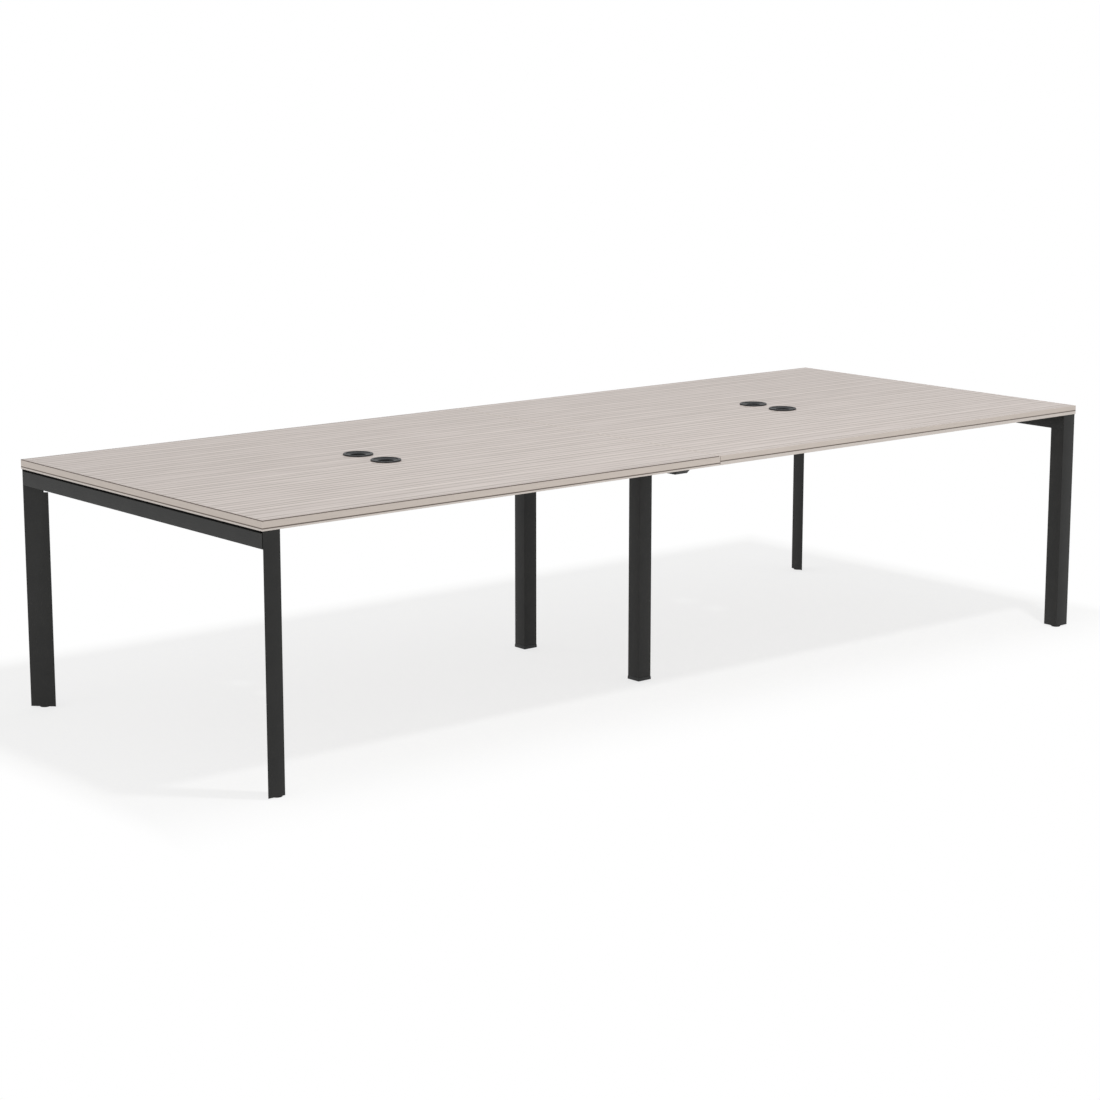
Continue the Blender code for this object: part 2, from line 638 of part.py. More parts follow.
def main():
    remove_old_objects()
    bpy.context.scene.collection.children.link(parts)
    bpy.context.scene.collection.children.link(cutters)
    add_boards()
    add_end_legs()
    add_end_rails()
    add_middle_beam()
    add_middle_legs()
    add_long_beams()
    add_support_strips()
    add_leg_inserts()
    add_feet()
    add_fasteners()
    add_grommets()


main()
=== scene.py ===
"""Looks of the bench desk for four people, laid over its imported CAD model.

Every piece is in metres, in the CAD model's own frame: X runs along the desk, the front
long edge is at -Y, and the floor is at Z = 0. Sizes and places come from the frame's nodes.
"""
import functools
import math

import bmesh
import bpy
from bpy.props import FloatProperty, FloatVectorProperty, PointerProperty
from mathutils import Matrix, Vector


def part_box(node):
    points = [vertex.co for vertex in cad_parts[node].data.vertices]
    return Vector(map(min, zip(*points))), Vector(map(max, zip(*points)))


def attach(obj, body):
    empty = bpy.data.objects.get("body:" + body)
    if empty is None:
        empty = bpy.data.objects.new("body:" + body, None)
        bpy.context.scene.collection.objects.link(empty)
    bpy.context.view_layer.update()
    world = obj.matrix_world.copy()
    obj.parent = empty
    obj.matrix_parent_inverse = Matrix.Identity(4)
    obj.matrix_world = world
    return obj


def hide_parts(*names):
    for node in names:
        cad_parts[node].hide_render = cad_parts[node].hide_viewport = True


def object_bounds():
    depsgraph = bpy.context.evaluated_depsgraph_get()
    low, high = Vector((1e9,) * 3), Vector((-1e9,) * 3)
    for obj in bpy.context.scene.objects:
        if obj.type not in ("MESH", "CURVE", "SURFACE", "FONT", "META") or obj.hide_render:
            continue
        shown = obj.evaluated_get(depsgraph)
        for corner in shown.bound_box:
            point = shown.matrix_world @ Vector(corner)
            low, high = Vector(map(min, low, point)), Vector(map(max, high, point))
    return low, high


bl_info = {
    "name": "Bench desk looks",
    "version": (1, 0, 0),
    "blender": (4, 5, 0),
    "location": "View3D > Sidebar > Desk",
    "description": "Builds the visible pieces of a bench desk for four people",
    "category": "Object",
}

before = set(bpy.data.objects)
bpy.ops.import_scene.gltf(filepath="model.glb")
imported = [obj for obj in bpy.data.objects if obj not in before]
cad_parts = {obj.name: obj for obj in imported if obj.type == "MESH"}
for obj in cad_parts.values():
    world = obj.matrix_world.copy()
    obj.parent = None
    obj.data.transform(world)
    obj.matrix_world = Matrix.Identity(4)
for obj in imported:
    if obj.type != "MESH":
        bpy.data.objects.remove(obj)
CAD_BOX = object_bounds()

SIDES = {"left": -1, "right": 1}
ROWS = {"front": -1, "back": 1}
CORNERS = {row + "_" + side: (row, side) for row in ROWS for side in SIDES}
MM = 0.001

# Names of the finishes that more than one group of pieces shares
COAT = "steel_anthracite_powder_coat_baked"
FOOT_PLASTIC = "polypropylene_black_moulded"
ZINC = "steel_zinc_plated_rolled"

# Facets on turned pieces and rounded corners, and the angle from which an edge is drawn sharp
ROUND_STEPS = 96
PAD_STEPS = 48
ROD_STEPS = 24
WELD_STEPS = 24
CROWN_STEPS = 12
DISH_STEPS = 10
HEAD_STEPS = 5
CORNER_STEPS = 4
SHARP_ANGLE = math.radians(20)

# Sheet and tube thicknesses, bend radii and small chamfers
LEG_WALL = 3.0 * MM
LEG_ROUND = 0.7 * MM
RAIL_WALL = 2.5 * MM
RAIL_ROUND = 0.8 * MM
FOLD_WALL = 2.5 * MM
FOLD_ROUND = 1.2 * MM
TUBE_WALL = 2.0 * MM
TUBE_ROUND = 2.5 * MM
PLATE_THICKNESS = 4.0 * MM
PLATE_ROUND = 4.0 * MM
TOP_PLATE = 5.0 * MM
EDGE = 0.4 * MM
FIT = 0.3 * MM
SPARE = 10.0 * MM
GLUE_LINE = 0.05 * MM
# A fold's quarter bend: inset and distance along, as shares of its radius
FOLD_BEND = ((1.0, 0.0), (0.62, 0.08), (0.29, 0.29), (0.08, 0.62), (0.0, 1.0))

# Grain of the laminate, as drawn: mm along it, mm across it, and fineness
GRAIN = {"fibre": (160, 4, 3.0), "streak": (700, 15, 1.0), "sway": (1100, 130, 1.0), "patch": (260, 25, 1.0)}
GROWTH_SWAY = 3.5
FINER_GROWTH = 1.618
FINER_SHARE = 0.8
TONE_SHARES = {"growth": -0.58, "streak": 0.27, "fibre": 0.55}

# Shares of an edge's height where its pale strip, dark line and plain face start and end, the dark
# line at its top, and the plain stretch at the seam
EDGE_LINES = {"left": (0.00, 0.17, 0.19, 0.29, 0.31, 1.00), "right": (0.00, 0.34, 0.37, 0.46, 0.49, 1.00)}
TOP_LINES = {"left": 2.4 * MM, "right": 0.0}
SEAM_WIDTH = 4.0 * MM

# The notch through the left legs, just under the rail: its slot outside and its window inside
SLOT_WIDTH = 12.4 * MM
SLOT_HEIGHT = 20.5 * MM
WINDOW_START = 6.0 * MM
WINDOW_END = 36.0 * MM
WINDOW_HEIGHT = 26.5 * MM

# The open joint between the rails and the boards, and how far the rubber lies back in it
JOINT_DROP = 3.0 * MM
JOINT_SETBACK = 4.0 * MM

# The rubber's ribs: their pitch, and shares of it with drops from the top in mm
RIB_PITCH = 4.0 * MM
RIB_PROFILE = ((0.98, 0.25), (0.88, 0.0), (0.42, 0.0), (0.32, 0.7), (0.10, 0.7), (0.02, 0.25))

# Bolts, screws, and the spigots beside the bolts: radius and reach out of the plate in mm
BOLT_RADIUS = 4.0 * MM
LEG_BOLT_RADIUS = 5.0 * MM
SCREW_RADIUS = 2.5 * MM
SPIGOT_RADIUS = 5.0 * MM
SPIGOT_REACH = 6.0 * MM
SPIGOT_PROFILE = ((5.0, 0.0), (5.0, 5.0), (4.7, 5.6), (4.0, 6.0))

# A weld seam's section, out and along as shares of its size, and its size in its dips and at its ends
WELD_PROFILE = ((-0.4, -0.4), (1.0, -0.4), (0.75, 0.35), (0.35, 0.75), (-0.4, 1.0))
WELD_DIP = 0.8
WELD_END = 0.3

# Screw threads: coarse pitches, and a thread's depth as a share of its pitch
STUD_PITCH = 1.25 * MM
BOLT_PITCH = 1.25 * MM
LEG_BOLT_PITCH = 1.5 * MM
SCREW_PITCH = 2.2 * MM
THREAD_DEPTH = 0.55
THREAD_ROWS = 4

# Button heads, as shares of the shank's radius; the key's depth is a share of the head's height
HEAD_RADIUS = 1.75
HEAD_HEIGHT = 1.1
HEAD_FLAT = 0.945
HEAD_RIM = 0.38
HEAD_EDGE = 0.2 * MM
KEY_RADIUS = 0.6
KEY_DEPTH = 0.5
KEY_EDGE = 0.15 * MM
TIP_RADIUS = 0.55
TIP_LENGTH = 0.6 * MM
RUN_OUT = 1.0 * MM
SCREW_THREADED = 0.45

# The levelling feet: the hole for the stud, its hexagonal collar, and the stud's neck and ends
STUD_RADIUS = 4.0 * MM
STUD_HOLE = 4.3 * MM
COLLAR_ROOM = 8.0 * MM
COLLAR_DEPTH = 4.5 * MM
COLLAR_LOW = 3.5 * MM
COLLAR_HIGH = 7.5 * MM
COLLAR_EDGE = 0.5 * MM
STUD_FOOT = 0.3 * MM
STUD_NECK = 0.6 * MM
STUD_RUN_OUT = 1.5 * MM
STUD_END = 0.5 * MM
STUD_POINT = 1.0 * MM

# The round pads, in mm: the socket by radius and depth, the shoulder and the sole's edge by distance
# in from the rim and from the top or bottom, and the grooves in the sole
PAD_SOCKET = ((1.0, 1.5), (4.3, 1.5), (4.3, 0.2), (4.5, 0.0))
PAD_SHOULDER = ((2.2, 0.0), (1.0, 0.15), (0.3, 0.5), (0.0, 1.0))
PAD_SOLE = ((0.0, 0.7), (0.25, 0.25), (0.7, 0.0))
PAD_GROOVE = ((0.0, 0.0), (0.2, 0.6), (1.2, 0.6), (1.4, 0.0))
PAD_GROOVES = (3.0, 6.6, 10.2)

# The plugs in the end legs: where their crush ribs start, and a rib's inset and height, in mm
PLUG_RIBS = (7.0, 12.5, 18.0, 23.5)
PLUG_RIB = ((0.0, 0.0), (0.8, 0.6), (0.8, 3.0), (0.0, 3.6))
PLUG_LEAD = 1.2 * MM
LEAD_HEIGHT = 2.0 * MM
CAP_SKIRT = 5.0 * MM
CAP_STEP = 1.0 * MM

# The grommets' liners, in mm: widths in from the flange's rim, and heights from the board's top
FLANGE_WIDTH = 8.5
FLANGE_EDGE = 1.6
BARREL_INSET = 4.8
BARREL_WALL = 2.5
LEDGE_PROFILE = ((-2.3, -5.0), (-2.5, -4.8), (-2.5, -2.2), (-2.3, -2.0), (0.0, -2.0))

# The grommets' ring caps, in mm: the mouth and the rim lie in from the outer edge, the lip lies
# below the top, and each profile gives distances out or in and up or down
MOUTH_INSET = 12.5
CAP_DISH = 2.4
CAP_LIP = ((0.0, -0.9), (0.25, -0.35), (0.9, 0.0))
CAP_RIM = ((-2.0, 0.0), (-1.0, -0.1), (-0.3, -0.35), (0.0, -0.7))
CAP_OUTER_RIB = ((0.0, 0.0), (-2.0, 0.0), (-2.2, 0.6))
CAP_INNER_RIB = ((2.2, 0.6), (2.0, 0.0), (0.3, 0.0), (0.0, 0.3))

# The studio: the floor, the sides of the rectangle that the shadow fills, the lamps and the camera
FLOOR_REACH = 40.0
SHADOW_SIDES = (((1.0, 0.0, 0.0), 1.80), ((-1.0, 0.0, 0.0), 1.88), ((0.0, 1.0, 0.0), 1.11),
                ((0.0, -0.3, 0.0), 0.135))
SHADOW_FADE = 0.15
KEY_PLACE = (0.29, -2.65, 5.70)
FILL_PLACE = (-6.5, 0.0, 1.2)
CAMERA_PLACE = (-5.378, -6.320, 2.022)
CAMERA_YAW = math.radians(50.28)
CAMERA_PITCH = math.radians(11.30)
CAMERA_LENS = 88.83
CAMERA_SENSOR = 36.0
CAMERA_SIGHT = 200.0


def colour_from_hex(code):
    """A linear colour from an sRGB hex value such as "c8beb2"."""
    linear = []
    for start in (0, 2, 4):
        value = int(code[start:start + 2], 16) / 255
        linear.append(value / 12.92 if value <= 0.04045 else ((value + 0.055) / 1.055) ** 2.4)
    return tuple(linear)


def colour_setting(name, description, code):
    """A colour that a user can change, with an sRGB hex value as its default."""
    return FloatVectorProperty(name=name, description=description, subtype="COLOR", min=0.0, max=1.0,
                               default=colour_from_hex(code))


def length_setting(name, description, millimetres):
    """A length that a user can change, with its default in millimetres."""
    return FloatProperty(name=name, description=description, unit="LENGTH", default=millimetres * MM)


def power_setting(name, description, watts):
    """A lamp's power that a user can change, with its default in watts."""
    return FloatProperty(name=name, description=description, unit="POWER", min=0.0, default=watts)


class DeskTopLooks(bpy.types.PropertyGroup):
    """Sizes and colours of the two tops."""
    laminate: colour_setting("Laminate", "Ground colour of the printed woodgrain", "c1b6b0")
    laminate_light: colour_setting("Light streaks", "Colour of the pale grain lines", "dcd2cc")
    laminate_dark: colour_setting("Dark streaks", "Colour of the dark grain lines", "a3988f")
    grain_repeat: length_setting("Grain repeat", "Distance between the print's pale lines", 80.0)
    grain_pitch: length_setting("Grain pitch", "Distance between the growth lines, as drawn", 28.0)
    band: colour_setting("Edge band", "Ground colour of the edge bands", "d2c7be")
    band_dark: colour_setting("Edge line", "Colour of the dark lines along the edge bands", "6f635b")
    band_light: colour_setting("Edge strip", "Colour of the pale strip low on the edge bands", "d8cfc8")


class DeskFrameLooks(bpy.types.PropertyGroup):
    """Sizes and colours of the steel frame."""
    coat: colour_setting("Powder coat", "Colour of the steel's coating", "1f1f1e")
    coat_pale: colour_setting("Powder coat, thin", "Colour where the coating is thinner", "262625")
    peel: length_setting("Orange peel", "Width of the coating's soft bumps, as drawn", 5.0)
    weld: length_setting("Weld", "Size of the weld seams on the long beams", 2.2)


class DeskGrommetLooks(bpy.types.PropertyGroup):
    """Sizes and colours of the cable grommets."""
    plastic: colour_setting("Grommet plastic", "Colour of the liners and caps", "16181a")
    texture: length_setting("Mould texture", "Grain of the moulded surface, as drawn", 1.5)


class DeskFootLooks(bpy.types.PropertyGroup):
    """Colours of the feet, the rubber strips and the fasteners."""
    plastic: colour_setting("Foot plastic", "Colour of the pads, leg inserts and leg caps", "1d1e1e")
    texture: length_setting("Mould texture", "Grain of the moulded surface, as drawn", 1.0)
    rubber: colour_setting("Rubber", "Colour of the strips under the boards", "0c0c0c")
    zinc: colour_setting("Zinc plate", "Colour of the studs, bolts and screws", "c4c8cb")


class DeskStageLooks(bpy.types.PropertyGroup):
    """Light and floor of the studio."""
    floor: colour_setting("Floor", "Colour of the studio floor", "fbfbfa")
    white_share: FloatProperty(
        name="White share", description="How much of the floor near the desk shows as plain white",
        subtype="FACTOR", min=0.0, max=1.0, default=0.755)
    ambient: FloatProperty(
        name="Ambient", description="Strength of the even light from all round", min=0.0, default=0.58)
    key_power: power_setting("Key light", "Power of the lamp above the front of the desk", 125.0)
    key_size: length_setting("Key size", "Width of the lamp above the front of the desk", 500.0)
    fill_power: power_setting("Fill light", "Power of the broad lamp at the left end of the desk", 28.0)
    fill_size: length_setting("Fill size", "Width of the broad lamp at the left end of the desk", 3000.0)


def connect(node, inputs):
    """Sets a node's inputs, in order or by name, to values, sockets or other nodes' first outputs."""
    pairs = inputs.items() if isinstance(inputs, dict) else enumerate(inputs)
    for socket, value in pairs:
        if isinstance(value, bpy.types.Node):
            value = value.outputs[0]
        if isinstance(value, bpy.types.NodeSocket):
            node.id_data.links.new(value, node.inputs[socket])
        else:
            node.inputs[socket].default_value = value


def add_node(tree, kind, inputs=(), stops=(), **settings):
    """Adds one node, with its settings, its inputs as values or links, and a ramp's stops."""
    node = tree.nodes.new(kind)
    for name, value in settings.items():
        setattr(node, name, value)
    connect(node, inputs)
    if stops:
        elements = node.color_ramp.elements
        while len(elements) < len(stops):
            elements.new(0.5)
        for element, (position, colour) in zip(elements, stops):
            element.position = position
            element.color = colour
    return node


def new_material(name):
    """A new material, a function that adds nodes to it, its shader, and places on the piece."""
    material = bpy.data.materials.new(name)
    material.use_nodes = True
    add = functools.partial(add_node, material.node_tree)
    place = add("ShaderNodeTexCoord").outputs["Object"]
    return material, add, material.node_tree.nodes["Principled BSDF"], place


def set_surface(add, shader, sheen, relief, inputs):
    """Sets a shader's inputs, with its sheen and relief made from patterns.

    The sheen is a pattern and the roughness where it is low and high, or None where the inputs
    hold an even roughness. The relief is a pattern, its strength and its depth in mm.
    """
    if sheen:
        pattern, low, high = sheen
        inputs["Roughness"] = add("ShaderNodeMapRange", (pattern, 0.3, 0.7, low, high))
    pattern, strength, depth = relief
    inputs["Normal"] = add("ShaderNodeBump", {
        "Height": pattern, "Strength": strength, "Distance": depth * MM})
    connect(shader, inputs)


def shared_material(name, make, *settings):
    """The material of a name, made when the first piece needs it."""
    return bpy.data.materials.get(name) or make(name, *settings)


def opaque(colour, shade=1.0):
    """A colour with full alpha, made darker or lighter by a shade."""
    return (*(channel * shade for channel in colour), 1.0)


def grey(value):
    return (value, value, value, 1.0)


def woodgrain_laminate(looks):
    """Melamine laminate, printed with a pale linear woodgrain and pressed matt."""
    # The eye sees an even pale ground with fine straight grain along the desk, thin pale lines at
    # even steps in it, and a soft sheen without clear reflections
    material, add, shader, place = new_material("melamine_woodgrain_laminate_pressed_matt")
    across = add("ShaderNodeSeparateXYZ", (place,)).outputs["Y"]

    # Wood fibres are about 0.05 mm wide and a few mm long; drawn 4 mm by 160 mm so that they show
    tones = {}
    for name, (length, width, detail) in GRAIN.items():
        scale = (1 / (length * MM), 1 / (width * MM), 1.0)
        cells = add("ShaderNodeVectorMath", (place, scale), operation="MULTIPLY")
        tones[name] = add("ShaderNodeTexNoise", {
            "Vector": cells, "Scale": 1.0, "Detail": detail, "Roughness": 0.6}, noise_dimensions="2D")

    # Growth lines lie 1 to 5 mm apart in wood; drawn further apart so that they show. They waver
    # along the desk and break up into dashes, and a finer set makes the steps between them uneven.
    turn = add("ShaderNodeMath", (across, 2 * math.pi / looks.grain_pitch), operation="MULTIPLY")
    swayed = add("ShaderNodeMath", (tones["sway"], GROWTH_SWAY, turn), operation="MULTIPLY_ADD")
    wave = add("ShaderNodeMath", (swayed,), operation="SINE")
    finer = add("ShaderNodeMath", (swayed, FINER_GROWTH), operation="MULTIPLY")
    ripple = add("ShaderNodeMath", (finer,), operation="SINE")
    both = add("ShaderNodeMath", (ripple, FINER_SHARE, wave), operation="MULTIPLY_ADD")
    ridge = add("ShaderNodeMapRange", (both, -0.3, 1.3), interpolation_type="SMOOTHSTEP")
    dash = add("ShaderNodeMapRange", (tones["patch"], 0.3, 0.7, 0.45, 1.0))
    tones["growth"] = add("ShaderNodeMath", (ridge, dash), operation="MULTIPLY")

    # The print's pale lines are 1 to 2 mm wide; drawn about 8 mm wide so that they show. They are
    # plain along the front edge and faint towards the back.
    repeat = add("ShaderNodeMath", (across, looks.grain_repeat), operation="DIVIDE")
    part = add("ShaderNodeMath", (repeat,), operation="FRACT")
    line = add("ShaderNodeValToRGB", (part,), (
        (0.00, grey(1.0)), (0.08, grey(0.0)), (0.92, grey(0.0)), (1.00, grey(1.0))))
    strength = add("ShaderNodeMapRange", (across, 0.30, -0.50, 0.05, 0.30))
    tone = add("ShaderNodeMath", (line, strength), operation="MULTIPLY")

    # The noises lie about 0.5 and the growth lines are dark, so the sum is about 0.3 on the whole
    for name, share in TONE_SHARES.items():
        tone = add("ShaderNodeMath", (tones[name], share, tone), operation="MULTIPLY_ADD")
    colour = add("ShaderNodeValToRGB", (tone,), (
        (0.00, opaque(looks.laminate_dark)), (0.29, opaque(looks.laminate)),
        (0.69, opaque(looks.laminate_light))))
    set_surface(add, shader, (tones["fibre"], 0.42, 0.54), (tones["fibre"], 0.15, 0.1),
                {"Base Color": colour, "IOR": 1.50, "Specular IOR Level": 0.62})
    return material


def printed_edging(name, looks):
    """ABS edging, extruded and printed to match the laminate, with darker lines along it."""
    # The eye sees a plain narrow face with thin lines that run the whole length of the edge
    material, add, shader, place = new_material("abs_edging_extruded_printed_" + name)
    axes = add("ShaderNodeSeparateXYZ", (place,)).outputs
    low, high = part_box("edge_band_" + name)
    light = opaque(looks.band_light)
    dark = opaque(looks.band_dark)
    face = opaque(looks.band)
    rise = add("ShaderNodeMapRange", (axes["Z"], low.z, high.z))
    stops = list(zip(EDGE_LINES[name], (light, light, dark, dark, face, face)))
    lines = add("ShaderNodeValToRGB", (rise,), stops)

    # The line at the top stops at the seam between the tops
    before_seam = add("ShaderNodeMath", (axes["X"], high.x - SEAM_WIDTH), operation="LESS_THAN")
    at_top = add("ShaderNodeMath", (axes["Z"], high.z - TOP_LINES[name]), operation="GREATER_THAN")
    lined = add("ShaderNodeMath", (before_seam, at_top), operation="MULTIPLY")
    line = add("ShaderNodeMix", {"Factor": lined, "A": lines, "B": dark}, data_type="RGBA").outputs["Result"]

    # Extrusion lines are far below a millimetre; drawn 1.5 mm by 90 mm so that they show
    scale = (1 / (90 * MM), 1 / (90 * MM), 1 / (1.5 * MM))
    cells = add("ShaderNodeVectorMath", (place, scale), operation="MULTIPLY")
    streak = add("ShaderNodeTexNoise", {"Vector": cells, "Scale": 1.0, "Detail": 3.0})
    shade = add("ShaderNodeMapRange", (streak, 0.25, 0.75, 0.93, 1.05))
    streaked = add("ShaderNodeVectorMath", {0: line, "Scale": shade}, operation="SCALE")
    set_surface(add, shader, None, (streak, 0.2, 0.1),
                {"Base Color": streaked, "Roughness": 0.50, "IOR": 1.53, "Specular IOR Level": 0.30})
    return material


def powder_coated_steel(name, looks):
    """Steel, sprayed with anthracite polyester powder and baked."""
    # The eye sees a dark satin skin with soft orange peel and slightly paler, thinner places.
    # Powder grit is about 0.05 mm; drawn at 1 mm so that it shows close up.
    material, add, shader, place = new_material(name)
    peel = add("ShaderNodeTexNoise", {
        "Vector": place, "Scale": 1 / looks.peel, "Detail": 2.0, "Roughness": 0.45})
    grit = add("ShaderNodeTexNoise", {"Vector": place, "Scale": 1 / (1 * MM), "Detail": 1.0})
    cover = add("ShaderNodeTexNoise", {
        "Vector": place, "Scale": 1 / (60 * MM), "Detail": 3.0, "Roughness": 0.6})
    thin = add("ShaderNodeMath", (grit, 0.35, cover), operation="MULTIPLY_ADD")
    colour = add("ShaderNodeValToRGB", (thin,), (
        (0.45, opaque(looks.coat)), (0.90, opaque(looks.coat_pale))))
    set_surface(add, shader, (grit, 0.46, 0.56), (peel, 0.25, 0.2),
                {"Base Color": colour, "IOR": 1.50, "Specular IOR Level": 0.30})
    return material


def moulded_plastic(name, looks, roughness, gloss):
    """Dark plastic, injection moulded in a spark-eroded tool."""
    # The eye sees a fine even grain that breaks up the reflections, a little smoother in patches.
    # The tool's grain is about 0.1 mm; it is drawn at the given size so that it shows.
    material, add, shader, place = new_material(name)
    grain = add("ShaderNodeTexNoise", {
        "Vector": place, "Scale": 1 / looks.texture, "Detail": 3.0, "Roughness": 0.6})
    flow = add("ShaderNodeTexNoise", {"Vector": place, "Scale": 1 / (25 * MM), "Detail": 2.0})
    shade = add("ShaderNodeValToRGB", (flow,), (
        (0.30, opaque(looks.plastic)), (0.75, opaque(looks.plastic, 1.35))))
    set_surface(add, shader, (flow, roughness - 0.05, roughness + 0.05), (grain, 0.25, 0.1),
                {"Base Color": shade, "IOR": 1.50, "Specular IOR Level": gloss})
    return material


def extruded_rubber(looks):
    """EPDM rubber, extruded in strips."""
    # The eye sees a dull black with a faint chalky bloom and fine lines along the strip. The lines
    # are about 0.1 mm wide; drawn 1 mm by 60 mm so that they show close up.
    material, add, shader, place = new_material("epdm_rubber_extruded")
    bloom = add("ShaderNodeTexNoise", {"Vector": place, "Scale": 1 / (18 * MM), "Detail": 4.0})
    shade = add("ShaderNodeValToRGB", (bloom,), (
        (0.40, opaque(looks.rubber)), (0.80, opaque(looks.rubber, 2.2))))
    scale = (1 / (1 * MM), 1 / (60 * MM), 1 / (1 * MM))
    cells = add("ShaderNodeVectorMath", (place, scale), operation="MULTIPLY")
    line = add("ShaderNodeTexNoise", {"Vector": cells, "Scale": 1.0})
    set_surface(add, shader, None, (line, 0.3, 0.1),
                {"Base Color": shade, "Roughness": 0.85, "IOR": 1.48, "Specular IOR Level": 0.10})
    return material


def zinc_plated_steel(name, looks):
    """Steel, turned or rolled, then plated with bright zinc."""
    # The eye sees a cool grey metal with cloudy duller patches where the plating was handled.
    # Scratches are far below 0.1 mm wide; drawn at 0.5 mm so that they show close up.
    material, add, shader, place = new_material(name)
    cloud = add("ShaderNodeTexNoise", {"Vector": place, "Scale": 1 / (6 * MM), "Detail": 4.0})
    shade = add("ShaderNodeValToRGB", (cloud,), (
        (0.35, opaque(looks.zinc, 0.72)), (0.65, opaque(looks.zinc))))
    scratch = add("ShaderNodeTexNoise", {"Vector": place, "Scale": 1 / (0.5 * MM)})
    set_surface(add, shader, (cloud, 0.42, 0.28), (scratch, 0.1, 0.05),
                {"Base Color": shade, "Metallic": 1.0})
    return material


def outline(corners, radius, inset=0.0):
    """A convex outline drawn in by an inset, with its corners turned into short arcs."""
    points = []
    count = len(corners)
    arc = max(radius - inset, EDGE / 2)
    for index, corner in enumerate(corners):
        here = Vector(corner)
        before = (Vector(corners[index - 1]) - here).normalized()
        after = (Vector(corners[(index + 1) % count]) - here).normalized()
        half_angle = before.angle(after) / 2
        inward = (before + after).normalized()
        tip = here + inward * (inset / math.sin(half_angle))
        centre = tip + inward * (arc / math.sin(half_angle))
        first = tip + before * (arc / math.tan(half_angle)) - centre
        last = tip + after * (arc / math.tan(half_angle)) - centre
        turn = first.angle_signed(last)
        for step in range(CORNER_STEPS + 1):
            points.append(centre + Matrix.Rotation(-turn * step / CORNER_STEPS, 2) @ first)
    return points


def rectangle(low_u, low_v, high_u, high_v):
    return [(low_u, low_v), (high_u, low_v), (high_u, high_v), (low_u, high_v)]


def circle(radius, steps=ROD_STEPS, hexagon=False):
    """Points round a circle, or round the hexagon that stands about it."""
    points = []
    for step in range(steps):
        angle = 2 * math.pi * step / steps
        reach = radius
        if hexagon:
            reach = radius / math.cos((angle + math.pi / 6) % (math.pi / 3) - math.pi / 6)
        points.append((reach * math.cos(angle), reach * math.sin(angle)))
    return points


def stand(axis, points, along, centre=Vector()):
    """Puts flat points into space about a centre, square to an axis, at a distance along it."""
    if axis == "X":
        return [centre + Vector((along, u, v)) for u, v in points]
    if axis == "Y":
        return [centre + Vector((u, along, v)) for u, v in points]
    return [centre + Vector((u, v, along)) for u, v in points]


def swept(axis, corners, radius, path):
    """Rings of a rounded outline, carried along a path of insets and distances along an axis."""
    return [stand(axis, outline(corners, radius, inset), along) for inset, along in path]


def turned(profile, place, steps):
    """Rings of a profile of radius and height, turned about an upright axis through a place."""
    return [stand("Z", circle(radius, steps), height, place) for radius, height in profile]


def rod(axis, middle, radius, reach):
    """Rings of a plain round cutter along an axis, as long as twice its reach."""
    return [stand(axis, circle(radius), along, middle) for along in (-reach, reach)]


def upright_block(one, other, bottom, top):
    """Rings of a plain upright cutter between two corners in plan."""
    low_x, high_x = sorted((one[0], other[0]))
    low_y, high_y = sorted((one[1], other[1]))
    return swept("Z", rectangle(low_x, low_y, high_x, high_y), 0.0, [(0.0, bottom), (0.0, top)])


def thread_rings(radius, pitch, start, end):
    """Outlines and places of a screw thread, a true helix that runs out to its core at both ends."""
    rings = []
    count = round(abs(end - start) / pitch * THREAD_ROWS)
    for row in range(count + 1):
        along = start + (end - start) * row / count
        fade = min(1.0, abs(along - start) / pitch, abs(end - along) / pitch)
        points = []
        for step in range(ROD_STEPS):
            phase = (along / pitch - step / ROD_STEPS) % 1.0
            ridge = 1.0 - abs(2.0 * phase - 1.0)
            reach = radius - THREAD_DEPTH * pitch * (1.0 - ridge * fade)
            angle = 2 * math.pi * step / ROD_STEPS
            points.append((reach * math.cos(angle), reach * math.sin(angle)))
        rings.append((points, along))
    return rings


def skin_mesh(skins, looped=False, solids=()):
    """A mesh of finished solids and of skins, each a list of rings joined by faces.

    A looped skin closes on itself, and another gets flat ends.
    """
    shape = bmesh.new()
    for solid in solids:
        shape.from_mesh(solid)
    for rings in skins:
        rows = [[shape.verts.new(point) for point in ring] for ring in rings]
        pairs = list(zip(rows, rows[1:]))
        if looped:
            pairs.append((rows[-1], rows[0]))
        for one, other in pairs:
            for index in range(len(one)):
                shape.faces.new((one[index - 1], one[index], other[index], other[index - 1]))
        if not looped:
            shape.faces.new(rows[0])
            shape.faces.new(rows[-1])
    bmesh.ops.recalc_face_normals(shape, faces=shape.faces)
    mesh = bpy.data.meshes.new("skin")
    shape.to_mesh(mesh)
    shape.free()
    return mesh


def carve(mesh, *skins):
    """Cuts closed skins out of a closed mesh."""
    solid = bpy.data.objects.new("solid", mesh)
    cutter = bpy.data.objects.new("cutter", skin_mesh(skins))
    scene = bpy.context.scene
    scene.collection.objects.link(solid)
    scene.collection.objects.link(cutter)
    cut = solid.modifiers.new("cut", "BOOLEAN")
    cut.operation = "DIFFERENCE"
    cut.solver = "EXACT"
    cut.object = cutter
    depsgraph = bpy.context.evaluated_depsgraph_get()
    carved = bpy.data.meshes.new_from_object(solid.evaluated_get(depsgraph))
    bpy.data.objects.remove(solid, do_unlink=True)
    bpy.data.objects.remove(cutter, do_unlink=True)
    return carved


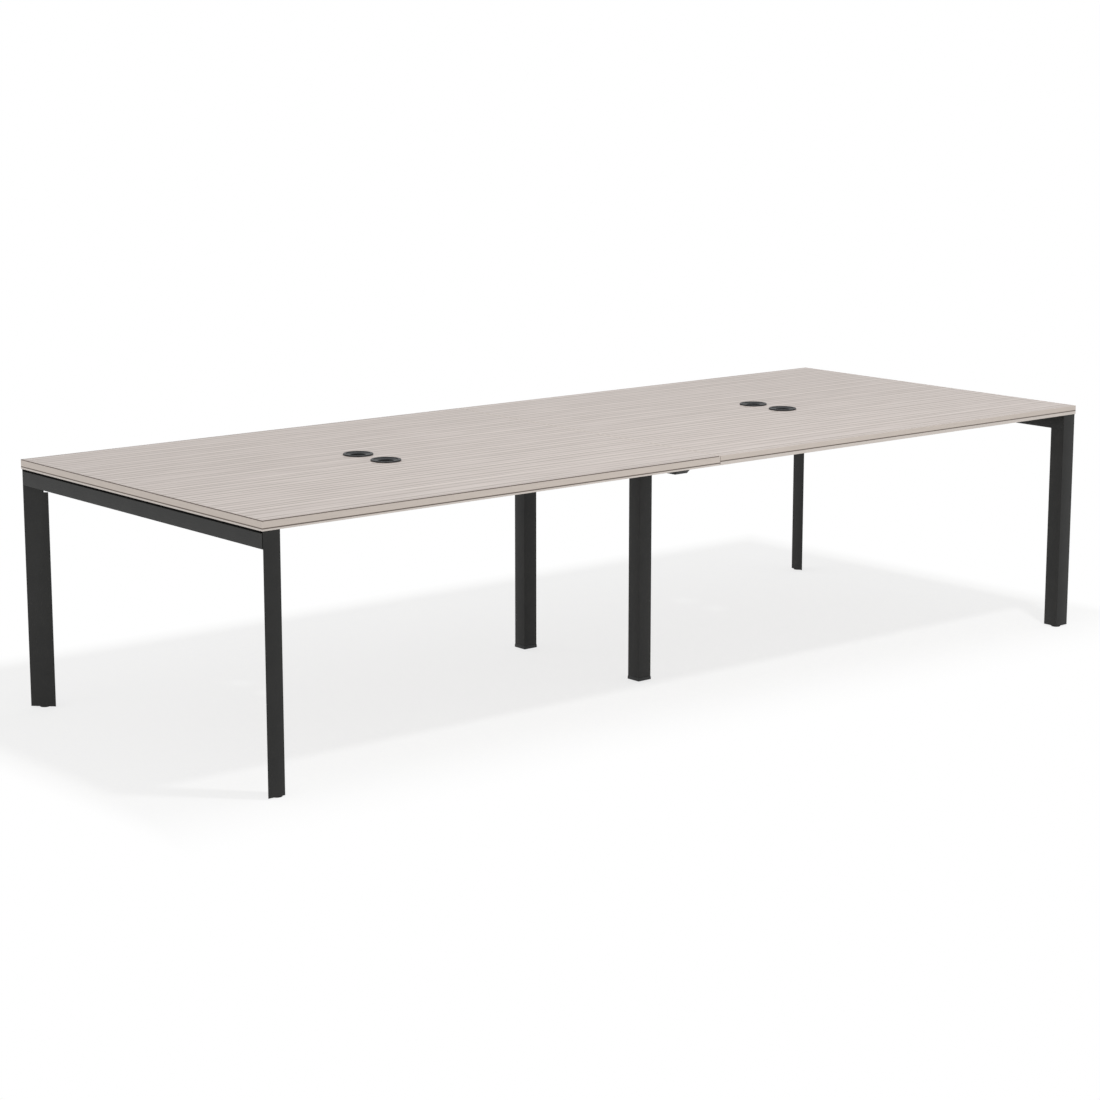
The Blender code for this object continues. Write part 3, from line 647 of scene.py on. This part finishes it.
def place_piece(name, mesh, material, node, body="desk"):
    """Shows a mesh as the piece that stands for a CAD node and moves with its body."""
    mesh.name = name
    mesh.materials.clear()
    mesh.materials.append(material)
    mesh.shade_smooth()
    mesh.set_sharp_from_angle(angle=SHARP_ANGLE)
    piece = bpy.data.objects.new(name, mesh)
    bpy.context.scene.collection.objects.link(piece)
    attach(piece, body)
    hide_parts(node)


def middle_of(node):
    low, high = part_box(node)
    return (low + high) / 2


def leg_corners(name):
    """The three corners of an end leg's section: inner, flush far and across."""
    row_name, side_name = CORNERS[name]
    row = ROWS[row_name]
    side = SIDES[side_name]
    low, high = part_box("end_rail_" + side_name)
    inner = high.x if side < 0 else low.x
    reach = high.x - low.x
    flush = row * max(abs(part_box("leg_front_" + side_name)[0].y), abs(low.y))
    return [(inner, flush), (inner + side * reach, flush), (inner, flush - row * reach)]


def bolt_and_spigot_holes(bolt_node, beam_node, x, reach):
    """Cutters for a bolt and for the spigot on the other side of the beam."""
    bolt = middle_of(bolt_node)
    spigot_y = 2 * middle_of(beam_node).y - bolt.y
    return [rod("X", Vector((x, bolt.y, bolt.z)), BOLT_RADIUS + FIT, reach),
            rod("X", Vector((x, spigot_y, bolt.z)), SPIGOT_RADIUS + FIT, reach)]


def bore_rings(outer, stud_node, top, bottom):
    """Rings down a stud's hole and its collar's room, in step with a piece's outer ring."""
    centre = middle_of(stud_node)
    shoulder = bottom + COLLAR_DEPTH
    rings = []
    for radius, height in ((STUD_HOLE + EDGE, top), (STUD_HOLE, top - EDGE), (STUD_HOLE, shoulder),
                           (COLLAR_ROOM, shoulder), (COLLAR_ROOM, bottom + EDGE),
                           (COLLAR_ROOM + EDGE, bottom)):
        ring = []
        for point in outer:
            away = Vector((point.x - centre.x, point.y - centre.y)).normalized() * radius
            ring.append(Vector((centre.x + away.x, centre.y + away.y, height)))
        rings.append(ring)
    return rings


class DESK_OT_tops(bpy.types.Operator):
    """Dress the two boards in laminate and lay their edge bands"""
    bl_idname = "desk.tops"
    bl_label = "Tops"

    def execute(self, context):
        looks = context.scene.desk_top_looks
        laminate = woodgrain_laminate(looks)
        for name in SIDES:
            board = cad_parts["top_board_" + name]
            board.data.materials.clear()
            board.data.materials.append(laminate)

            low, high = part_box("edge_band_" + name)
            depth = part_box("top_board_" + name)[0].x - low.x - GLUE_LINE
            path = [(0.0, low.z + EDGE), (0.0, high.z - EDGE), (0.3 * EDGE, high.z - 0.3 * EDGE),
                    (EDGE, high.z), (depth, high.z), (depth, low.z), (EDGE, low.z),
                    (0.3 * EDGE, low.z + 0.3 * EDGE)]
            band = skin_mesh([swept("Z", rectangle(low.x, low.y, high.x, high.y), EDGE, path)], looped=True)
            edging = printed_edging(name, looks)
            place_piece("edging_" + name, band, edging, "edge_band_" + name)
        return {"FINISHED"}


def add_end_leg(name, coat):
    """A triangular tube whose flush wall alone runs up past the rail."""
    row_name, side_name = CORNERS[name]
    row = ROWS[row_name]
    side = SIDES[side_name]
    low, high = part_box("leg_" + name)
    rail_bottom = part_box("end_rail_" + side_name)[0].z
    corners = leg_corners(name)
    path = [(0.2 * EDGE, low.z), (0.0, low.z + EDGE), (0.0, high.z - EDGE), (0.2 * EDGE, high.z),
            (LEG_WALL, high.z), (LEG_WALL, low.z)]
    leg = skin_mesh([swept("Z", corners, LEG_ROUND, path)], looped=True)

    inner_x, flush_y = corners[0]
    far_x = corners[1][0]
    edge_y = corners[2][1]
    clear_x = inner_x - side * SPARE
    leg = carve(leg, upright_block((clear_x, flush_y - row * LEG_WALL),
                                   (far_x + side * SPARE, edge_y - row * SPARE),
                                   rail_bottom, high.z + SPARE))
    if side_name == "left":
        for reach, start, end, depth in ((SLOT_WIDTH, -SPARE, SLOT_WIDTH + FIT, SLOT_HEIGHT),
                                         (LEG_WALL + FIT, WINDOW_START, WINDOW_END, WINDOW_HEIGHT)):
            leg = carve(leg, upright_block((clear_x, edge_y + row * start),
                                           (inner_x + side * reach, edge_y + row * end),
                                           rail_bottom - depth, rail_bottom + SPARE))
    place_piece("end_leg_" + name, leg, coat, "leg_" + name)


def add_end_rail(name, coat):
    """A rectangular tube with bolt and spigot holes in its inner wall."""
    low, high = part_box("end_rail_" + name)
    section = rectangle(low.x, low.z, high.x, high.z - JOINT_DROP)
    path = [(0.0, low.y), (0.0, high.y), (RAIL_WALL, high.y), (RAIL_WALL, low.y)]
    rail = skin_mesh([swept("Y", section, RAIL_ROUND, path)], looped=True)
    inner_x = high.x if SIDES[name] < 0 else low.x
    holes = []
    for row_name in ROWS:
        corner = row_name + "_" + name
        holes += bolt_and_spigot_holes("beam_bolt_outer_" + corner, "long_beam_" + corner,
                                       inner_x, 2 * RAIL_WALL)
    place_piece("cross_rail_" + name, carve(rail, *holes), coat, "end_rail_" + name)


class DESK_OT_end_frames(bpy.types.Operator):
    """Build the triangular legs and the rails across the ends"""
    bl_idname = "desk.end_frames"
    bl_label = "End frames"

    def execute(self, context):
        coat = shared_material(COAT, powder_coated_steel, context.scene.desk_frame_looks)
        for name in CORNERS:
            add_end_leg(name, coat)
        for name in SIDES:
            add_end_rail(name, coat)
        return {"FINISHED"}


def add_middle_beam(coat):
    """A channel folded from sheet, open at the top, with slanted closed tips."""
    low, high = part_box("middle_beam")
    run = high.z - low.z
    side_view = [(low.y + run, low.z), (high.y - run, low.z), (high.y, high.z), (low.y, high.z)]
    path = [(FOLD_ROUND * inset, low.x + FOLD_ROUND * along) for inset, along in FOLD_BEND]
    path += [(FOLD_ROUND * inset, high.x - FOLD_ROUND * along) for inset, along in reversed(FOLD_BEND)]
    beam = skin_mesh([swept("X", side_view, FOLD_ROUND, path)])

    lift = 2 * FOLD_WALL
    inside = side_view[:2] + [(high.y + lift, high.z + lift), (low.y - lift, high.z + lift)]
    path = [(FOLD_WALL, low.x + FOLD_WALL), (FOLD_WALL, high.x - FOLD_WALL)]
    beam = carve(beam, swept("X", inside, 0.0, path))
    holes = []
    for name in ROWS:
        holes += bolt_and_spigot_holes("beam_bolt_inner_" + name + "_left", "long_beam_" + name + "_left",
                                       0.0, high.x + SPARE)
        leg_bolt = Vector((0.0, middle_of("leg_bolt_" + name).y, low.z))
        holes.append(rod("Z", leg_bolt, LEG_BOLT_RADIUS + FIT, 2 * FOLD_WALL))
    place_piece("folded_beam", carve(beam, *holes), coat, "middle_beam")


def add_middle_leg(name, coat):
    """A square tube closed at the top by a welded plate."""
    low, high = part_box("middle_leg_" + name)
    section = rectangle(low.x, low.y, high.x, high.y)
    path = [(EDGE, low.z), (0.0, low.z + EDGE), (0.0, high.z - EDGE), (EDGE, high.z)]
    leg = skin_mesh([swept("Z", section, TUBE_ROUND, path)])
    path = [(TUBE_WALL, low.z - SPARE), (TUBE_WALL, high.z - TOP_PLATE)]
    leg = carve(leg, swept("Z", section, TUBE_ROUND, path))
    bolt = middle_of("leg_bolt_" + name)
    leg = carve(leg, rod("Z", Vector((bolt.x, bolt.y, high.z)), LEG_BOLT_RADIUS + FIT, 2 * TOP_PLATE))
    place_piece("square_leg_" + name, leg, coat, "middle_leg_" + name)


def add_leg_cap(name, plastic):
    """A flared plastic cap with a plug up inside the leg and a hole for the stud."""
    low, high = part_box("middle_leg_cap_" + name)
    leg_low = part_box("middle_leg_" + name)[0]
    flange = leg_low.z - FIT
    plug = leg_low.x - low.x + TUBE_WALL + FIT
    path = [(EDGE, low.z), (0.0, low.z + EDGE), (0.0, low.z + CAP_SKIRT), (EDGE, flange - LEAD_HEIGHT),
            (CAP_STEP, flange), (plug, flange), (plug, high.z - LEAD_HEIGHT), (plug + CAP_STEP, high.z)]
    rings = swept("Z", rectangle(low.x, low.y, high.x, high.y), TUBE_ROUND, path)
    rings += bore_rings(rings[0], "foot_stud_" + name + "_middle", high.z, low.z)
    cap = skin_mesh([rings], looped=True)
    place_piece("leg_cap_" + name, cap, plastic, "middle_leg_cap_" + name)


class DESK_OT_middle_frame(bpy.types.Operator):
    """Build the folded middle beam, its two square legs and their caps"""
    bl_idname = "desk.middle_frame"
    bl_label = "Middle frame"

    def execute(self, context):
        coat = shared_material(COAT, powder_coated_steel, context.scene.desk_frame_looks)
        plastic = shared_material(FOOT_PLASTIC, moulded_plastic, context.scene.desk_foot_looks, 0.45, 0.4)
        add_middle_beam(coat)
        for name in ROWS:
            add_middle_leg(name, coat)
            add_leg_cap(name, plastic)
        return {"FINISHED"}


def weld_seams(tube, face, inward, weld):
    """Rippled weld seams up the tube's two sides, where the plate stands out."""
    (low_y, low_z), (high_y, high_z) = tube[0], tube[2]
    seams = []
    for seam_y, outward in ((low_y, -1), (high_y, 1)):
        rings = []
        for step in range(WELD_STEPS + 1):
            height = low_z + TUBE_ROUND + (high_z - low_z - 2 * TUBE_ROUND) * step / WELD_STEPS
            swell = weld * (1.0 if step % 2 else WELD_DIP)
            if step in (0, WELD_STEPS):
                swell = weld * WELD_END
            rings.append([Vector((face + inward * along * swell, seam_y + outward * out * swell, height))
                          for out, along in WELD_PROFILE])
        seams.append(rings)
    return seams


def add_long_beam(name, weld, coat):
    """A rounded tube between two plates, with a bolt hole and a spigot on each plate."""
    low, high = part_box("long_beam_" + name)
    middle_y = (low.y + high.y) / 2
    bolt = middle_of("beam_bolt_outer_" + name)
    screw = middle_of("top_screw_" + name)
    start = low.x + SPIGOT_REACH
    end = high.x - SPIGOT_REACH
    tube_side = high.z - low.z
    tube = rectangle(middle_y - tube_side / 2, low.z, middle_y + tube_side / 2, high.z)
    plate = rectangle(low.y, low.z, high.y, high.z)
    skins = []
    for face, inward in ((start, 1), (end, -1)):
        path = [(EDGE, face), (0.0, face + inward * EDGE),
                (0.0, face + inward * (PLATE_THICKNESS - EDGE)), (EDGE, face + inward * PLATE_THICKNESS)]
        skins.append(swept("X", plate, PLATE_ROUND, path))
    holes = [swept("X", tube, TUBE_ROUND, [(TUBE_WALL, low.x - SPARE), (TUBE_WALL, high.x + SPARE)])]
    for face in (start, end):
        holes.append(rod("X", Vector((face, bolt.y, bolt.z)), BOLT_RADIUS + FIT, 2 * PLATE_THICKNESS))
    plates = carve(skin_mesh(skins), *holes)

    inner_start = start + PLATE_THICKNESS
    inner_end = end - PLATE_THICKNESS
    path = [(0.0, inner_start), (0.0, inner_end), (TUBE_WALL, inner_end), (TUBE_WALL, inner_start)]
    pipe = skin_mesh([swept("X", tube, TUBE_ROUND, path)], looped=True)
    screw.z = middle_of("long_beam_" + name).z
    pipe = carve(pipe, rod("Z", screw, SCREW_RADIUS + FIT, tube_side))

    spigot = Vector((0.0, 2 * middle_y - bolt.y, bolt.z))
    skins = []
    for face, outward in ((start, -1), (end, 1)):
        skins.append([stand("X", circle(radius * MM), face + outward * along * MM, spigot)
                      for radius, along in SPIGOT_PROFILE])
        skins += weld_seams(tube, face - outward * PLATE_THICKNESS, -outward, weld)
    beam = skin_mesh(skins, solids=(plates, pipe))
    place_piece("tie_beam_" + name, beam, coat, "long_beam_" + name)


class DESK_OT_long_beams(bpy.types.Operator):
    """Build the four long beams with their eared end plates"""
    bl_idname = "desk.long_beams"
    bl_label = "Long beams"

    def execute(self, context):
        looks = context.scene.desk_frame_looks
        coat = shared_material(COAT, powder_coated_steel, looks)
        for name in CORNERS:
            add_long_beam(name, looks.weld, coat)
        return {"FINISHED"}


class DESK_OT_support_strips(bpy.types.Operator):
    """Lay the ribbed rubber strips that carry the boards"""
    bl_idname = "desk.support_strips"
    bl_label = "Support strips"

    def execute(self, context):
        rubber = extruded_rubber(context.scene.desk_foot_looks)
        for name in ("left", "middle", "right"):
            low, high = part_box("support_strip_" + name)
            if name in SIDES:
                rail_low, rail_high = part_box("end_rail_" + name)
                low.x = rail_low.x + JOINT_SETBACK
                high.x = rail_high.x - JOINT_SETBACK
                low.z -= JOINT_DROP
            ribs = round((high.x - low.x) / RIB_PITCH)
            pitch = (high.x - low.x) / ribs
            profile = [(low.x, low.z), (high.x, low.z)]
            for rib in reversed(range(ribs)):
                start = low.x + rib * pitch
                profile += [(start + share * pitch, high.z - drop * MM) for share, drop in RIB_PROFILE]
            strip = skin_mesh([[stand("Y", profile, low.y), stand("Y", profile, high.y)]])
            place_piece("ribbed_strip_" + name, strip, rubber, "support_strip_" + name)
        return {"FINISHED"}


def add_insert(name, plastic):
    """A triangular plug with crush ribs round it and a hole for the stud."""
    low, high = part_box("leg_insert_" + name)
    wall = LEG_WALL + FIT
    path = [(wall + EDGE, low.z), (wall, low.z + EDGE)]
    for start in PLUG_RIBS:
        path += [(wall + inset * MM, low.z + (start + rise) * MM) for inset, rise in PLUG_RIB]
    path += [(wall, high.z - LEAD_HEIGHT), (wall + PLUG_LEAD, high.z)]
    rings = swept("Z", leg_corners(name), LEG_ROUND, path)
    rings += bore_rings(rings[0], "foot_stud_" + name, high.z, low.z)
    plug = skin_mesh([rings], looped=True)
    place_piece("leg_plug_" + name, plug, plastic, "leg_insert_" + name)


def add_pad(name, plastic):
    """A round pad with a socket for the stud and a grooved sole."""
    low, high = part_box("foot_pad_" + name)
    place = middle_of("foot_pad_" + name)
    place.z = 0.0
    reach = (high.x - low.x) / 2
    profile = [(radius * MM, high.z - depth * MM) for radius, depth in PAD_SOCKET]
    profile += [(reach - inset * MM, high.z - drop * MM) for inset, drop in PAD_SHOULDER]
    profile += [(reach - inset * MM, low.z + rise * MM) for inset, rise in PAD_SOLE]
    for groove in PAD_GROOVES:
        profile += [(reach - (groove + inset) * MM, low.z + rise * MM) for inset, rise in PAD_GROOVE]
    profile.append((PAD_SOCKET[0][0] * MM, low.z))
    pad = skin_mesh([turned(profile, place, PAD_STEPS)])
    place_piece("level_pad_" + name, pad, plastic, "foot_pad_" + name, "pad_" + name)


def add_stud(name, zinc):
    """The collared stud that screws a pad up and down."""
    low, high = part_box("foot_stud_" + name)
    place = middle_of("foot_pad_" + name)
    place.z = 0.0
    collar = (high.x - low.x) / 2
    shank = circle(STUD_RADIUS)
    flats = circle(collar, hexagon=True)
    chamfer = circle(collar - EDGE)
    rings = [(circle(STUD_RADIUS - STUD_FOOT), low.z), (shank, low.z + STUD_FOOT), (shank, COLLAR_LOW),
             (chamfer, COLLAR_LOW), (flats, COLLAR_LOW + COLLAR_EDGE), (flats, COLLAR_HIGH - COLLAR_EDGE),
             (chamfer, COLLAR_HIGH), (shank, COLLAR_HIGH), (shank, COLLAR_HIGH + STUD_NECK)]
    rings += thread_rings(STUD_RADIUS, STUD_PITCH, COLLAR_HIGH + STUD_RUN_OUT, high.z - STUD_END)
    rings.append((circle(STUD_RADIUS - STUD_POINT), high.z))
    stud = skin_mesh([[stand("Z", ring, along, place) for ring, along in rings]])
    place_piece("level_stud_" + name, stud, zinc, "foot_stud_" + name, "stud_" + name)


class DESK_OT_levelling_feet(bpy.types.Operator):
    """Build the leg inserts, the threaded studs and the round pads"""
    bl_idname = "desk.levelling_feet"
    bl_label = "Levelling feet"

    def execute(self, context):
        looks = context.scene.desk_foot_looks
        plastic = shared_material(FOOT_PLASTIC, moulded_plastic, looks, 0.45, 0.4)
        zinc = shared_material(ZINC, zinc_plated_steel, looks)
        for name in (*CORNERS, "front_middle", "back_middle"):
            if name in CORNERS:
                add_insert(name, plastic)
            add_pad(name, plastic)
            add_stud(name, zinc)
        return {"FINISHED"}


def liner_profile(flange, rise, depth):
    """A grommet's crowned flange, its barrel and the ledge that carries the cap, in mm."""
    recess = flange - FLANGE_WIDTH
    barrel = flange - BARREL_INSET
    fit = FIT / MM
    points = []
    for step in range(CROWN_STEPS):
        share = step / CROWN_STEPS
        crown = 1.0 - (2.0 * share - 1.0) ** 4
        points.append((recess + share * FLANGE_WIDTH, rise - FLANGE_EDGE / 2 + crown * FLANGE_EDGE / 2))
    points += [(flange - 0.2, rise - 0.75 * FLANGE_EDGE), (flange, rise - FLANGE_EDGE), (flange, 0.7),
               (flange - 0.2, fit), (barrel, fit), (barrel, depth + 3.0), (barrel - 0.6, depth),
               (barrel - BARREL_WALL, depth), (barrel - BARREL_WALL, LEDGE_PROFILE[0][1])]
    return points + [(recess + out, height) for out, height in LEDGE_PROFILE]


def cap_profile(radius, rise, bottom):
    """A grommet's dished ring with a soft lip round its mouth and ribs under its edges, in mm."""
    mouth = radius - MOUTH_INSET
    lip = rise - CAP_DISH
    points = [(mouth + out, lip + up) for out, up in CAP_LIP]
    dish = mouth + CAP_LIP[-1][0]
    rim = radius + CAP_RIM[0][0]
    for step in range(1, DISH_STEPS):
        share = step / DISH_STEPS
        bend = 0.5 - 0.5 * math.cos(math.pi * share)
        points.append((dish + share * (rim - dish), lip + bend * CAP_DISH))
    for profile, reach, height in ((CAP_RIM, radius, rise), (CAP_OUTER_RIB, radius, bottom),
                                   (CAP_INNER_RIB, mouth, bottom)):
        points += [(reach + out, height + up) for out, up in profile]
    return points


class DESK_OT_grommets(bpy.types.Operator):
    """Turn the four grommet liners and their ring caps"""
    bl_idname = "desk.grommets"
    bl_label = "Grommets"

    def execute(self, context):
        plastic = moulded_plastic("abs_charcoal_moulded", context.scene.desk_grommet_looks, 0.50, 0.35)
        for name, (row_name, side_name) in CORNERS.items():
            place = middle_of("grommet_liner_" + name)
            place.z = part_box("top_board_" + side_name)[1].z
            for piece, node, profile, body in (("flanged_liner_", "grommet_liner_", liner_profile, "desk"),
                                               ("ring_cap_", "grommet_cap_", cap_profile, "cap_" + name)):
                low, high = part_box(node + name)
                points = profile((high.x - low.x) / 2 / MM, (high.z - place.z) / MM, (low.z - place.z) / MM)
                rings = turned([(radius * MM, height * MM) for radius, height in points], place, ROUND_STEPS)
                mesh = skin_mesh([rings], looped=True)
                place_piece(piece + name, mesh, plastic, node + name, body)
        return {"FINISHED"}


def add_fastener(node, axis, head_sign, pitch, threaded, zinc):
    """A button head with a hex socket, and a shank with a real thread for part of its length."""
    low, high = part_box(node)
    centre = middle_of(node)
    if axis == "X":
        head = (high.z - low.z) / 2
        ends = (low.x, high.x)
        centre.x = 0.0
    else:
        head = (high.x - low.x) / 2
        ends = (low.z, high.z)
        centre.z = 0.0
    radius = head / HEAD_RADIUS
    height = radius * HEAD_HEIGHT
    length = ends[1] - ends[0] - height
    seat = (ends[1] if head_sign > 0 else ends[0]) - head_sign * height
    key = circle(radius * KEY_RADIUS, hexagon=True)
    key_mouth = circle(radius * KEY_RADIUS + KEY_EDGE, hexagon=True)
    flat = radius * HEAD_FLAT
    rim = radius * HEAD_RIM
    rings = [(key, height * KEY_DEPTH), (key, height - KEY_EDGE), (key_mouth, height),
             (circle(flat), height)]
    for step in range(1, HEAD_STEPS + 1):
        angle = math.pi / 2 * step / HEAD_STEPS
        reach = flat + (head - flat) * math.sin(angle)
        rings.append((circle(reach), rim + (height - rim) * math.cos(angle)))
    start = -length * (1.0 - threaded) - RUN_OUT
    rings += [(circle(head), HEAD_EDGE), (circle(head - HEAD_EDGE), 0.0), (circle(radius), 0.0),
              (circle(radius), start + RUN_OUT / 2)]
    rings += thread_rings(radius, pitch, start, TIP_LENGTH - length)
    rings.append((circle(radius * TIP_RADIUS), -length))
    fastener = skin_mesh([[stand(axis, ring, seat + head_sign * along, centre) for ring, along in rings]])
    place_piece("turned_" + node, fastener, zinc, node)


class DESK_OT_fasteners(bpy.types.Operator):
    """Turn the bolts at the beam ends and middle legs, and the screws into the boards"""
    bl_idname = "desk.fasteners"
    bl_label = "Fasteners"

    def execute(self, context):
        zinc = shared_material(ZINC, zinc_plated_steel, context.scene.desk_foot_looks)
        for name, (row_name, side_name) in CORNERS.items():
            side = SIDES[side_name]
            add_fastener("beam_bolt_outer_" + name, "X", -side, BOLT_PITCH, 1.0, zinc)
            add_fastener("beam_bolt_inner_" + name, "X", side, BOLT_PITCH, 1.0, zinc)
            add_fastener("top_screw_" + name, "Z", -1, SCREW_PITCH, SCREW_THREADED, zinc)
        for name in ROWS:
            add_fastener("leg_bolt_" + name, "Z", 1, LEG_BOLT_PITCH, 1.0, zinc)
        return {"FINISHED"}


def seen_rays(add):
    """1 for rays from the camera, in reflections and through glass, and 0 for light."""
    path = add("ShaderNodeLightPath").outputs
    seen = add("ShaderNodeMath", (path["Is Camera Ray"], path["Is Glossy Ray"]), operation="MAXIMUM")
    return add("ShaderNodeMath", (seen, path["Is Transmission Ray"]), operation="MAXIMUM")


def add_floor(scene, looks):
    """A wide plain floor that fades to white away from the desk."""
    mesh = bpy.data.meshes.new("studio_floor")
    corners = rectangle(-FLOOR_REACH, -FLOOR_REACH, FLOOR_REACH, FLOOR_REACH)
    mesh.from_pydata(stand("Z", corners, -EDGE), [], [(0, 1, 2, 3)])
    floor = bpy.data.objects.new("studio_floor", mesh)
    scene.collection.objects.link(floor)
    material, add, shader, place = new_material("studio_floor_matt_paint")
    connect(shader, {"Base Color": opaque(looks.floor), "Roughness": 0.9, "Specular IOR Level": 0.0})

    # The shadow fills a rectangle, and the floor turns white round it: soon at the right, left
    # and back, and more slowly at the front, where the legs' shadows start
    past = 0.0
    for direction, reach in SHADOW_SIDES:
        along = add("ShaderNodeVectorMath", (place, direction), operation="DOT_PRODUCT").outputs["Value"]
        beyond = add("ShaderNodeMath", (along, reach), operation="SUBTRACT")
        past = add("ShaderNodeMath", (beyond, past), operation="MAXIMUM")
    share = add("ShaderNodeMapRange", (past, 0.0, SHADOW_FADE, looks.white_share, 1.0),
                interpolation_type="SMOOTHSTEP")
    white = add("ShaderNodeMath", (share, seen_rays(add)), operation="MULTIPLY")
    glow = add("ShaderNodeEmission", {"Color": grey(1.0), "Strength": 1.0})
    mixed = add("ShaderNodeMixShader", (white, shader, glow))

    # From below, the floor is clear, so that the underside shows
    below = add("ShaderNodeNewGeometry").outputs["Backfacing"]
    sided = add("ShaderNodeMixShader", (below, mixed, add("ShaderNodeBsdfTransparent")))
    connect(material.node_tree.nodes["Material Output"], {"Surface": sided})
    mesh.materials.append(material)


def light_world(scene, looks):
    """Even white light from all round, which shows as plain white."""
    world = bpy.data.worlds.new("studio")
    scene.world = world
    world.use_nodes = True
    add = functools.partial(add_node, world.node_tree)
    strength = add("ShaderNodeMath", (seen_rays(add), 1.0 - looks.ambient, looks.ambient),
                   operation="MULTIPLY_ADD")
    connect(world.node_tree.nodes["Background"], {"Color": grey(1.0), "Strength": strength})


def add_lamp(scene, name, place, size, power):
    """A soft round lamp aimed at the middle of the desk."""
    lamp = bpy.data.lights.new(name, "AREA")
    lamp.shape = "DISK"
    lamp.size = size
    lamp.energy = power
    holder = bpy.data.objects.new(name, lamp)
    scene.collection.objects.link(holder)
    holder.location = place
    aim = Vector((0.0, 0.0, CAD_BOX[1].z)) - holder.location
    holder.rotation_euler = aim.to_track_quat("-Z", "Y").to_euler()
    holder.visible_camera = False


def add_camera(scene):
    """The photograph's view: from the front left, a little above the top."""
    camera = bpy.data.cameras.new("camera")
    camera.sensor_width = CAMERA_SENSOR
    camera.lens = CAMERA_LENS
    camera.clip_end = CAMERA_SIGHT
    view = bpy.data.objects.new("camera", camera)
    scene.collection.objects.link(view)
    view.location = CAMERA_PLACE
    level = math.cos(CAMERA_PITCH)
    look = Vector((math.cos(CAMERA_YAW) * level, math.sin(CAMERA_YAW) * level, -math.sin(CAMERA_PITCH)))
    view.rotation_euler = look.to_track_quat("-Z", "Y").to_euler()
    scene.camera = view


class DESK_OT_stage(bpy.types.Operator):
    """Lay the floor, light the studio and set the camera"""
    bl_idname = "desk.stage"
    bl_label = "Stage"

    def execute(self, context):
        scene = context.scene
        looks = scene.desk_stage_looks
        add_floor(scene, looks)
        light_world(scene, looks)
        # The key above the front throws the shadow back; the fill lights the left end
        add_lamp(scene, "key", KEY_PLACE, looks.key_size, looks.key_power)
        add_lamp(scene, "fill", FILL_PLACE, looks.fill_size, looks.fill_power)
        add_camera(scene)
        scene.view_settings.view_transform = "Standard"
        return {"FINISHED"}


OPERATORS = (DESK_OT_tops, DESK_OT_end_frames, DESK_OT_middle_frame, DESK_OT_long_beams,
             DESK_OT_support_strips, DESK_OT_levelling_feet, DESK_OT_grommets, DESK_OT_fasteners,
             DESK_OT_stage)
LOOKS = {"desk_top_looks": DeskTopLooks, "desk_frame_looks": DeskFrameLooks,
         "desk_grommet_looks": DeskGrommetLooks, "desk_foot_looks": DeskFootLooks,
         "desk_stage_looks": DeskStageLooks}


class DESK_PT_looks(bpy.types.Panel):
    """The desk's pieces, sizes and colours"""
    bl_idname = "DESK_PT_looks"
    bl_label = "Bench desk"
    bl_space_type = "VIEW_3D"
    bl_region_type = "UI"
    bl_category = "Desk"

    def draw(self, context):
        for operator in OPERATORS:
            self.layout.operator(operator.bl_idname)
        for name, group in LOOKS.items():
            box = self.layout.box()
            for setting in group.__annotations__:
                box.prop(getattr(context.scene, name), setting)


def register():
    for group in LOOKS.values():
        bpy.utils.register_class(group)
    for name, group in LOOKS.items():
        setattr(bpy.types.Scene, name, PointerProperty(type=group))
    for operator in OPERATORS:
        bpy.utils.register_class(operator)
    bpy.utils.register_class(DESK_PT_looks)


def unregister():
    bpy.utils.unregister_class(DESK_PT_looks)
    for operator in reversed(OPERATORS):
        bpy.utils.unregister_class(operator)
    for name in LOOKS:
        delattr(bpy.types.Scene, name)
    for group in reversed(list(LOOKS.values())):
        bpy.utils.unregister_class(group)


def main():
    register()
    bpy.ops.desk.tops()
    bpy.ops.desk.end_frames()
    bpy.ops.desk.middle_frame()
    bpy.ops.desk.long_beams()
    bpy.ops.desk.support_strips()
    bpy.ops.desk.levelling_feet()
    bpy.ops.desk.grommets()
    bpy.ops.desk.fasteners()
    bpy.ops.desk.stage()


if __name__ == "__main__":
    main()
